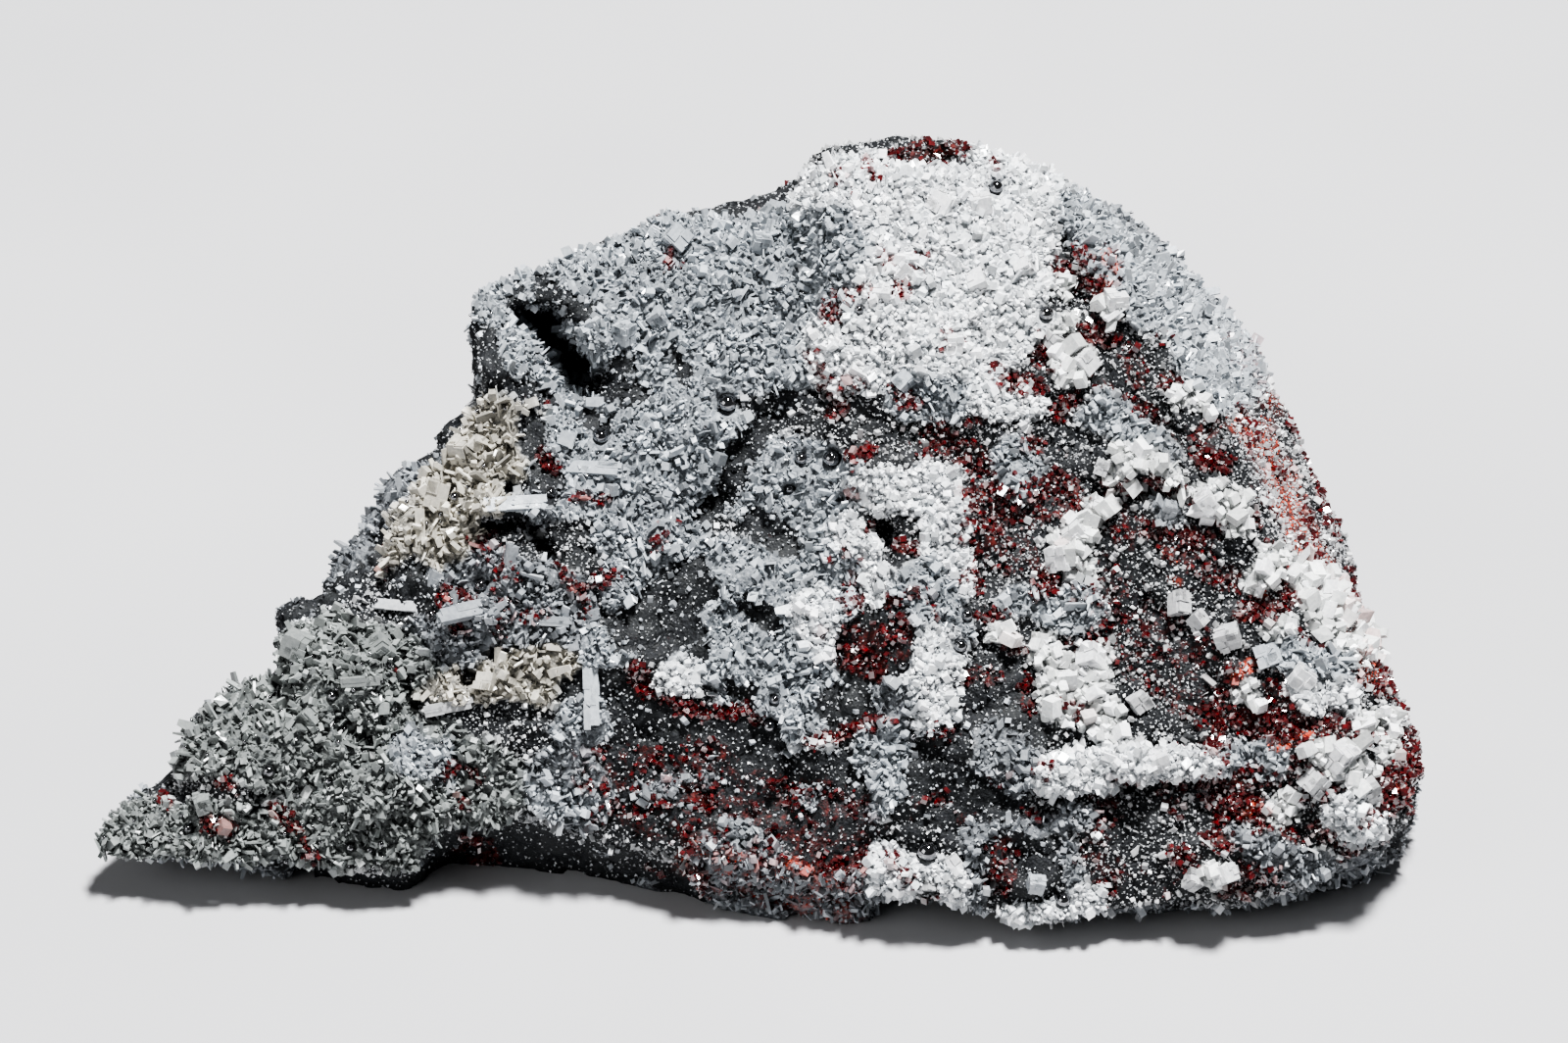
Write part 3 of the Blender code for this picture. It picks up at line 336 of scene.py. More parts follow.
def stroke(u, v, ends, half_width, slope):
    """1 inside the half width of the line between two ends, fading to 0 over the slope round it."""
    u_a, v_a, u_b, v_b = ends
    along_u, along_v = u_b - u_a, v_b - v_a
    length_squared = max(along_u**2 + along_v**2, NEARLY_NOTHING)
    share = np.clip(((u - u_a) * along_u + (v - v_a) * along_v) / length_squared, 0.0, 1.0)
    distance = np.hypot(u - u_a - share * along_u, v - v_a - share * along_v)
    return smooth_step((half_width + slope - distance) / slope)


def relief_height(u, v):
    """Height of the face above its smooth swell: the sum of its strokes, each times its height."""
    return sum(rise * stroke(u, v, ends, half, slope) for *ends, half, slope, rise in RELIEF)


def read_rows(table, station, column):
    """The column of a table, read at any station by straight lines between its rows."""
    values = np.array(table, dtype=float)
    return np.interp(station, values[:, 0], values[:, column])


def between(start, end, steps):
    """Points from start up to, and not including, end: an array (rows, steps, 3)."""
    share = np.arange(steps)[None, :, None] / steps
    return start[:, None, :] * (1.0 - share) + end[:, None, :] * share


def face_edges(station):
    """The face's lower edge, its ridge or rim, and its silhouette, each as columns u, v and w."""
    last = len(STATIONS) - 1
    numbered = np.column_stack([np.arange(last + 1), np.array(STATIONS)])
    lower = np.stack([read_rows(numbered, station, 1), read_rows(numbered, station, 2)], axis=-1)
    upper = np.stack([read_rows(numbered, station, 3), read_rows(numbered, station, 4)], axis=-1)
    lower = np.column_stack([lower, read_rows(LOWER_DEPTH, station, 1)])
    upper = np.column_stack([upper, read_rows(UPPER_DEPTH, station, 1)])
    chord = np.linalg.norm(upper[:, :2] - lower[:, :2], axis=1)
    share = np.clip(RIM_WIDTH / np.maximum(chord, 0.1), 0.0, 0.3)[:, None]
    rim = upper * (1.0 - share) + lower * share
    rim[:, 2] -= RIM_DROP * np.minimum(chord / RIM_FULL_HEIGHT, 1.0)
    ridge = np.column_stack(
        [
            read_rows(RIDGE, station, 1),
            read_rows(RIDGE, station, 2),
            read_rows(RIDGE_DEPTH, station, 1),
        ]
    )
    flanked = smooth_step(station - RIDGE[0][0] + 1.0)[:, None]
    return lower, rim * (1.0 - flanked) + ridge * flanked, upper


def front_height(u, v):
    """Height of the worked face: its relief, with soft lumps and with broken facets of two sizes."""
    flat = np.stack([u, v, np.zeros_like(u)], axis=-1)
    lumps = noise_sum(lattice_noise, flat, FACE_LUMPS)
    return relief_height(u, v) + lumps + noise_sum(facet_noise, flat, FACE_FACETS)


def worked_front(station, lower, ridge, steps):
    """The face as rows of sight points: straight lines from the lower edge to the ridge, swollen by
    FACE_SWELL (4 t (1 - t))^SWELL_POWER and raised by front_height, which fades out at the ridge."""
    share = np.arange(steps)[None, :] / steps
    u, v, w = (
        lower[:, axis][:, None] * (1.0 - share) + ridge[:, axis][:, None] * share
        for axis in range(3)
    )
    height = np.hypot(ridge[:, 0] - lower[:, 0], ridge[:, 1] - lower[:, 1])[:, None]
    bow = (4.0 * share * (1.0 - share)) ** SWELL_POWER
    swell = FACE_SWELL * np.minimum(height / SWELL_FULL_HEIGHT, 1.0) * bow
    near_ridge = smooth_step((1.0 - share) * height / RIDGE_FADE)
    near_ends = np.minimum(station, len(STATIONS) - 1 - station)[:, None] / STATIONS_AT_ENDS
    raised = front_height(u, v) * near_ridge * np.minimum(near_ends, 1.0)
    return from_face(u, v, w - swell - raised)


def upright(x, y, z):
    """Points of the hidden side, whose y starts at the face's centre."""
    return np.stack([x, FACE_CENTRE[1] + y, z], axis=-1)


def unit(vectors):
    """The vectors at length 1: each divided by its own length."""
    return vectors / np.maximum(np.linalg.norm(vectors, axis=-1, keepdims=True), NEARLY_NOTHING)


def grid_outward(skin):
    """The outward direction at each point of the grid: the cross product of its two runs."""
    along = np.gradient(skin, axis=0)
    around = np.roll(skin, -1, axis=1) - np.roll(skin, 1, axis=1)
    outward = np.cross(along, around)
    return unit(outward)


def break_up(skin, hidden):
    """Gives the smooth block its broken shape. Vector noise shifts each point, strongly on the hidden
    side and slightly on the face. What stands beyond a fracture is pushed back onto its plane. Then
    the hidden side is roughened by facets along the outward direction."""
    shift = [
        noise_sum(lattice_noise, skin, [(cell, height, seed + axis) for cell, height, seed in BLOCK_WARP])
        for axis in range(3)
    ]
    skin = skin + np.stack(shift, axis=-1) * (FACE_WARP_SHARE + (1.0 - FACE_WARP_SHARE) * hidden)
    for azimuth, elevation, distance in FRACTURES:
        around, lift = math.radians(azimuth), math.radians(elevation)
        facing = np.array(
            [math.cos(around) * math.cos(lift), math.sin(around) * math.cos(lift), math.sin(lift)]
        )
        beyond = np.maximum(skin @ facing - distance, 0.0)
        skin = skin - beyond[..., None] * facing
    rough = noise_sum(facet_noise, skin, HIDDEN_FACETS)
    return skin + grid_outward(skin) * rough[..., None] * hidden


def block_grid(rows_per_station, face, flank, top, back, bed, undercut):
    """The skin of the block as rows of closed loops, an array (rows, loop, 3) in millimetres.

    Each loop runs up the face to the ridge, over the flank to the silhouette, across the top to the
    shoulder, down the back, along the bed and up the undercut front.
    """
    last = len(STATIONS) - 1
    station = np.linspace(0.0, last, last * rows_per_station + 1)
    lower, ridge, upper = face_edges(station)
    front = worked_front(station, lower, ridge, face)
    lower_edge = front[:, 0]
    ridge_edge = from_face(*ridge.T)
    silhouette = from_face(*upper.T)

    shoulder_y, shoulder_z, back_y, front_y, feet_z = (
        read_rows(HIDDEN, station, column) for column in range(1, 6)
    )
    shoulder = upright(silhouette[:, 0], shoulder_y, shoulder_z)
    back_foot = upright(0.5 * (lower_edge[:, 0] + silhouette[:, 0]), back_y, feet_z)
    front_foot = upright(lower_edge[:, 0], front_y, feet_z)
    skin = np.concatenate(
        [
            front,
            between(ridge_edge, silhouette, flank),
            between(silhouette, shoulder, top),
            between(shoulder, back_foot, back),
            between(back_foot, front_foot, bed),
            between(front_foot, lower_edge, undercut),
        ],
        axis=1,
    )
    hidden = np.concatenate(
        [
            np.zeros(face),
            np.linspace(0.1, 0.3, flank),
            np.linspace(0.0, 1.0, top),
            np.ones(back + bed),
            np.linspace(1.0, 0.0, undercut),
        ]
    )
    thick = np.clip(np.minimum(station / THIN_LEFT, (last - station) / THIN_RIGHT), 0.0, 1.0)
    return break_up(skin, hidden[None, :, None] * thick[:, None, None])


skin = block_grid(
    ROWS_PER_STATION, FACE_STEPS, FLANK_STEPS, TOP_STEPS, BACK_STEPS, BED_STEPS, UNDERCUT_STEPS
)
ROWS, LOOP = skin.shape[:2]
print("grid of the skin:", ROWS, "rows of", LOOP, "points")

# %% [markdown]
# ## Where each finish lies
# The crust isn't the same all over. It is bright and sugary at the top, blue-grey and shredded on the
# left, in clusters of white blocks on the right, and missing where dark rock shows. The bands are laid
# on like paint strokes, one over the other: a later stroke covers what lies under it. Before a stroke
# is laid, its place is shifted by noise, so that no edge is straight.

# %% Finishes and their strokes
# share covered by crystals, size of a crystal in mm, specks on a square mm, colour of the crystals
FINISHES = {
    "white": (1.00, 0.36, 2.0, (0.80, 0.82, 0.83)),
    "blocks": (0.90, 0.70, 3.0, (0.80, 0.81, 0.79)),
    "pale": (0.93, 0.37, 1.5, (0.41, 0.435, 0.455)),
    "grey": (0.75, 0.36, 4.0, (0.29, 0.305, 0.32)),
    "beige": (1.00, 0.46, 1.0, (0.50, 0.475, 0.415)),
    "clear": (0.85, 0.42, 3.0, (0.26, 0.275, 0.265)),
    "slate": (0.04, 0.26, 5.0, (0.42, 0.44, 0.46)),
    "speckled": (0.10, 0.28, 13.0, (0.50, 0.50, 0.50)),
}
PATCHES = (
    # the light blue-grey crust of the upper left
    ("pale", (
        (-18.6, 15.0, 0.0, 15.4, 5.4, 0.6), (-17.8, 5.7, -7.4, 5.0, 5.2, 0.6),
        (-11.9, 21.3, -1.5, 20.6, 1.9, 0.4), (0.0, 20.2, 0.4, 15.0, 3.3, 0.6),
    )),
    # the bright sugary crust at the top
    ("white", (
        (5.6, 22.8, 15.6, 21.7, 4.6, 0.5), (5.9, 15.8, 14.9, 15.0, 3.9, 0.5),
        (4.1, 12.4, 13.8, 10.9, 2.5, 0.4), (14.9, 25.8, 19.7, 24.3, 2.4, 0.4),
        (18.2, 17.6, 17.8, 15.4, 2.2, 0.4), (14.5, 9.7, 17.5, 8.9, 1.5, 0.3),
        (18.7, 9.4, 18.3, 7.7, 0.7, 0.2),
    )),
    ("pale", (
        (2.6, 17.2, 3.3, 21.7, 2.1, 0.6),
    )),
    # the crust in the middle, with its brighter edge beside the holes
    ("pale", (
        (-1.9, 3.1, 3.0, 2.4, 3.4, 0.4),
    )),
    ("white", (
        (6.3, 2.4, 11.5, 2.8, 1.6, 0.4), (4.5, -1.0, 7.4, -4.7, 1.3, 0.4),
        (12.0, 0.5, 12.5, -4.3, 1.9, 0.4),
    )),
    ("pale", (
        (9.7, 9.4, 11.9, 9.1, 1.8, 0.4), (10.4, -5.1, 12.0, -8.4, 2.1, 0.4),
    )),
    ("white", (
        (11.0, -10.4, 12.0, -14.3, 2.2, 0.4),
    )),
    ("grey", (
        (7.4, -12.5, 7.8, -13.8, 1.6, 0.4),
    )),
    ("pale", (
        (7.8, -17.3, 8.0, -19.2, 2.3, 0.4), (5.8, -22.0, 7.4, -21.0, 1.3, 0.3),
        (-3.0, -5.1, 2.2, -5.1, 3.6, 0.6), (-4.8, -8.8, 2.6, -9.9, 3.3, 0.6),
    )),
    ("white", (
        (2.1, -6.2, 2.8, -10.3, 1.6, 0.4),
    )),
    ("pale", (
        (-2.6, -12.5, 1.9, -13.2, 2.5, 0.6), (-0.1, -15.3, 1.3, -15.5, 2.1, 0.4),
    )),
    ("white", (
        (-0.4, -17.8, 2.6, -17.7, 1.0, 0.3),
    )),
    ("pale", (
        (-7.8, -1.0, -7.4, -2.5, 1.9, 0.4),
    )),
    # the grey and beige crystals of the left side
    ("pale", (
        (-11.9, -1.0, -10.8, -4.7, 2.8, 0.4),
    )),
    ("grey", (
        (-23.8, -5.1, -17.1, -6.5, 3.1, 0.4),
    )),
    ("beige", (
        (-20.7, 7.6, -26.8, -0.2, 2.4, 0.4), (-22.3, 3.5, -27.5, -2.1, 2.5, 0.4),
        (-26.0, -11.7, -16.7, -11.7, 1.9, 0.4),
    )),
    ("grey", (
        (-27.5, -9.5, -22.3, -8.8, 1.9, 0.4),
    )),
    ("pale", (
        (-14.1, -9.7, -12.6, -9.1, 1.6, 0.4),
    )),
    ("clear", (
        (-37.2, -9.9, -29.7, -11.0, 3.0, 0.4), (-43.5, -15.8, -29.7, -17.7, 3.7, 0.4),
        (-50.6, -23.6, -28.3, -23.6, 2.5, 0.4), (-26.8, -18.1, -22.3, -19.9, 3.0, 0.4),
    )),
    ("pale", (
        (-28.3, -17.7, -26.0, -18.4, 1.5, 0.4),
    )),
    # dark rock that shows in the upper left
    ("slate", (
        (-23.2, 14.3, -22.5, 10.9, 1.0, 0.4), (-20.8, 10.2, -18.4, 9.2, 0.9, 0.3),
        (-18.2, 17.6, -15.2, 15.6, 0.8, 0.3), (-20.2, 16.4, -15.6, 11.9, 0.9, 0.4),
        (-14.0, 10.4, -11.5, 9.7, 0.9, 0.4), (-14.9, 8.0, -14.0, 6.8, 0.6, 0.3),
        (-19.3, 7.2, -17.7, 3.1, 0.9, 0.3), (-20.7, 2.5, -17.8, 2.4, 0.7, 0.3),
        (-22.3, -0.1, -18.2, -0.1, 0.6, 0.2), (-17.4, -1.0, -17.7, -2.8, 0.6, 0.2),
        (-27.9, -4.5, -27.5, -5.1, 1.5, 0.4), (-8.2, 12.4, -7.4, 10.9, 0.6, 0.4),
        (-12.5, 12.0, -11.9, 11.7, 0.5, 0.3),
    )),
    # the dark vein through the middle
    ("slate", (
        (0.1, 9.2, -1.6, 7.4, 1.0, 0.3), (-2.8, 6.1, -4.3, 2.4, 0.9, 0.4),
        (-4.6, 2.0, -6.1, 0.5, 0.9, 0.4), (-2.4, 0.1, 0.4, -1.8, 1.0, 0.4),
        (-7.4, -4.9, -10.8, -8.0, 2.1, 0.4), (-11.5, -8.2, -7.4, -9.5, 1.8, 0.4),
        (-2.4, -6.7, -1.1, -7.4, 0.8, 0.4), (-4.0, -12.3, -2.4, -13.1, 0.6, 0.3),
    )),
    # the dark rock of the lower middle
    ("slate", (
        (-11.9, -15.6, -2.6, -17.3, 2.8, 0.5), (-15.2, -13.6, -11.9, -14.1, 2.0, 0.4),
        (-10.8, -20.8, 3.3, -20.8, 3.1, 0.5), (0.0, -23.8, 4.6, -23.8, 2.1, 0.4),
        (4.3, -14.1, 5.4, -14.0, 1.9, 0.4), (6.1, -9.9, 7.6, -9.1, 2.4, 0.4),
        (11.7, -19.9, 14.9, -22.3, 2.5, 0.4), (12.3, -17.1, 11.9, -19.9, 1.5, 0.4),
        (15.5, -12.5, 18.0, -14.6, 2.4, 0.4), (14.0, -11.7, 13.8, -15.6, 0.9, 0.3),
        (5.9, -8.0, 8.3, -7.3, 1.0, 0.4),
    )),
    ("white", (
        (-7.4, -11.0, -8.0, -11.9, 1.3, 0.3),
    )),
    ("pale", (
        (-15.8, -15.6, -14.7, -15.5, 1.7, 0.4),
    )),
    ("grey", (
        (-16.7, -19.2, -15.5, -20.8, 2.5, 0.6),
    )),
    ("pale", (
        (-18.6, -20.8, -14.0, -21.6, 0.7, 0.4),
    )),
    ("grey", (
        (-7.4, -19.9, -5.8, -19.6, 0.5, 0.3), (-10.3, -20.4, -8.8, -20.5, 0.7, 0.3),
    )),
    ("pale", (
        (1.6, -20.8, 2.4, -21.0, 0.7, 0.3), (-4.3, -23.2, -1.6, -23.6, 0.4, 0.2),
    )),
    ("grey", (
        (-4.8, -27.4, 5.4, -29.0, 2.2, 0.4), (-5.9, -25.0, -1.1, -25.0, 1.0, 0.4),
    )),
    # the square patch and the lower rim
    ("grey", (
        (16.4, -17.5, 17.5, -18.4, 2.1, 0.3), (13.8, -23.6, 21.2, -22.8, 0.7, 0.3),
        (14.1, -23.6, 14.9, -28.5, 0.6, 0.3), (21.7, -23.6, 22.2, -27.4, 0.6, 0.3),
    )),
    ("slate", (
        (17.2, -25.3, 19.3, -26.5, 1.9, 0.4),
    )),
    ("white", (
        (7.7, -25.7, 9.1, -26.8, 1.5, 0.4), (11.7, -26.5, 13.1, -27.8, 1.0, 0.3),
        (17.1, -29.4, 23.4, -28.7, 0.7, 0.3),
    )),
    # clusters of white rhombs on the speckled right side
    ("blocks", (
        (19.9, -9.7, 20.5, -10.3, 1.3, 0.2), (22.2, -11.7, 21.4, -13.7, 1.9, 0.3),
        (24.4, -10.1, 23.8, -11.2, 1.0, 0.2), (24.2, -14.6, 25.1, -16.2, 1.3, 0.3),
        (20.7, -1.5, 22.2, -2.2, 0.8, 0.2), (23.2, -3.2, 23.0, -4.5, 0.7, 0.2),
        (21.9, -0.2, 22.8, -0.7, 0.7, 0.2),
    )),
    ("pale", (
        (17.2, -6.2, 22.7, -6.7, 1.3, 0.4),
    )),
    ("blocks", (
        (16.2, -8.4, 16.7, -8.9, 0.6, 0.2),
    )),
    ("pale", (
        (17.2, 4.8, 18.0, 3.7, 1.6, 0.4),
    )),
    ("blocks", (
        (22.2, 12.6, 21.9, 11.6, 1.4, 0.3), (24.7, 16.4, 25.7, 17.0, 1.0, 0.2),
        (21.3, 18.3, 21.7, 18.0, 0.6, 0.2), (21.1, 15.5, 22.0, 15.2, 0.7, 0.2),
        (25.9, 4.8, 29.4, 4.2, 0.8, 0.2), (25.4, 3.3, 25.9, 2.8, 0.7, 0.2),
        (29.9, 3.1, 31.2, 2.8, 0.6, 0.2), (32.9, 2.1, 34.5, 0.7, 1.1, 0.3),
        (34.6, -0.4, 35.2, -1.0, 0.6, 0.2), (23.3, 1.0, 24.1, 0.7, 0.6, 0.2),
    )),
    ("grey", (
        (28.7, 1.0, 29.6, 0.7, 0.8, 0.3),
    )),
    ("pale", (
        (23.6, 7.6, 26.0, 6.8, 1.0, 0.4),
    )),
    ("blocks", (
        (30.2, 9.2, 31.2, 8.8, 0.7, 0.2),
    )),
    ("grey", (
        (28.7, 5.9, 29.6, 5.2, 0.7, 0.3),
    )),
    ("pale", (
        (27.5, 6.5, 24.5, 9.4, 0.7, 0.4),
    )),
    ("blocks", (
        (36.9, -2.5, 37.6, -3.1, 0.7, 0.2), (35.4, -4.6, 36.6, -4.3, 1.0, 0.2),
        (39.4, -4.2, 40.9, -5.4, 1.0, 0.2), (40.5, -6.5, 43.4, -9.8, 1.3, 0.3),
        (36.9, -8.6, 38.5, -8.0, 0.7, 0.2),
    )),
    ("pale", (
        (38.3, -10.1, 42.0, -11.2, 1.0, 0.3),
    )),
    ("white", (
        (39.4, -13.1, 42.1, -13.1, 1.1, 0.3),
    )),
    ("blocks", (
        (35.4, -12.9, 36.0, -13.7, 0.8, 0.2), (43.4, -15.2, 45.7, -15.3, 0.8, 0.2),
        (40.5, -17.8, 43.4, -18.6, 1.0, 0.3), (45.1, -17.4, 45.7, -17.8, 0.7, 0.2),
    )),
    ("white", (
        (42.1, -21.6, 44.0, -22.6, 1.4, 0.3),
    )),
    ("blocks", (
        (40.6, -24.7, 41.2, -25.0, 0.7, 0.2), (37.2, -22.8, 38.4, -21.3, 0.8, 0.3),
    )),
    ("pale", (
        (33.5, -17.8, 37.3, -18.0, 1.0, 0.3),
    )),
    ("white", (
        (20.2, -19.2, 23.9, -19.2, 1.1, 0.3), (23.9, -18.7, 32.1, -18.2, 0.9, 0.2),
    )),
    ("grey", (
        (22.0, -22.0, 22.8, -22.5, 0.9, 0.3),
    )),
    ("blocks", (
        (32.3, -26.8, 32.7, -27.1, 0.8, 0.2),
    )),
    ("grey", (
        (36.3, -25.3, 40.5, -26.0, 1.3, 0.4), (34.3, -23.6, 34.9, -24.4, 0.7, 0.3),
    )),
    # the right flank, pale above and dark below
    ("pale", (
        (24.2, 22.8, 29.0, 17.2, 3.1, 0.4), (29.7, 17.2, 33.5, 10.9, 2.5, 0.6),
    )),
)
print("strokes of crust:", sum(len(rows) for _, rows in PATCHES))

# %% [markdown]
# Cinnabar is laid on in the same way, with a strength in front of each stroke. Most of it is dark red
# and crystalline. A little is bright vermilion powder, where crystals have been crushed.

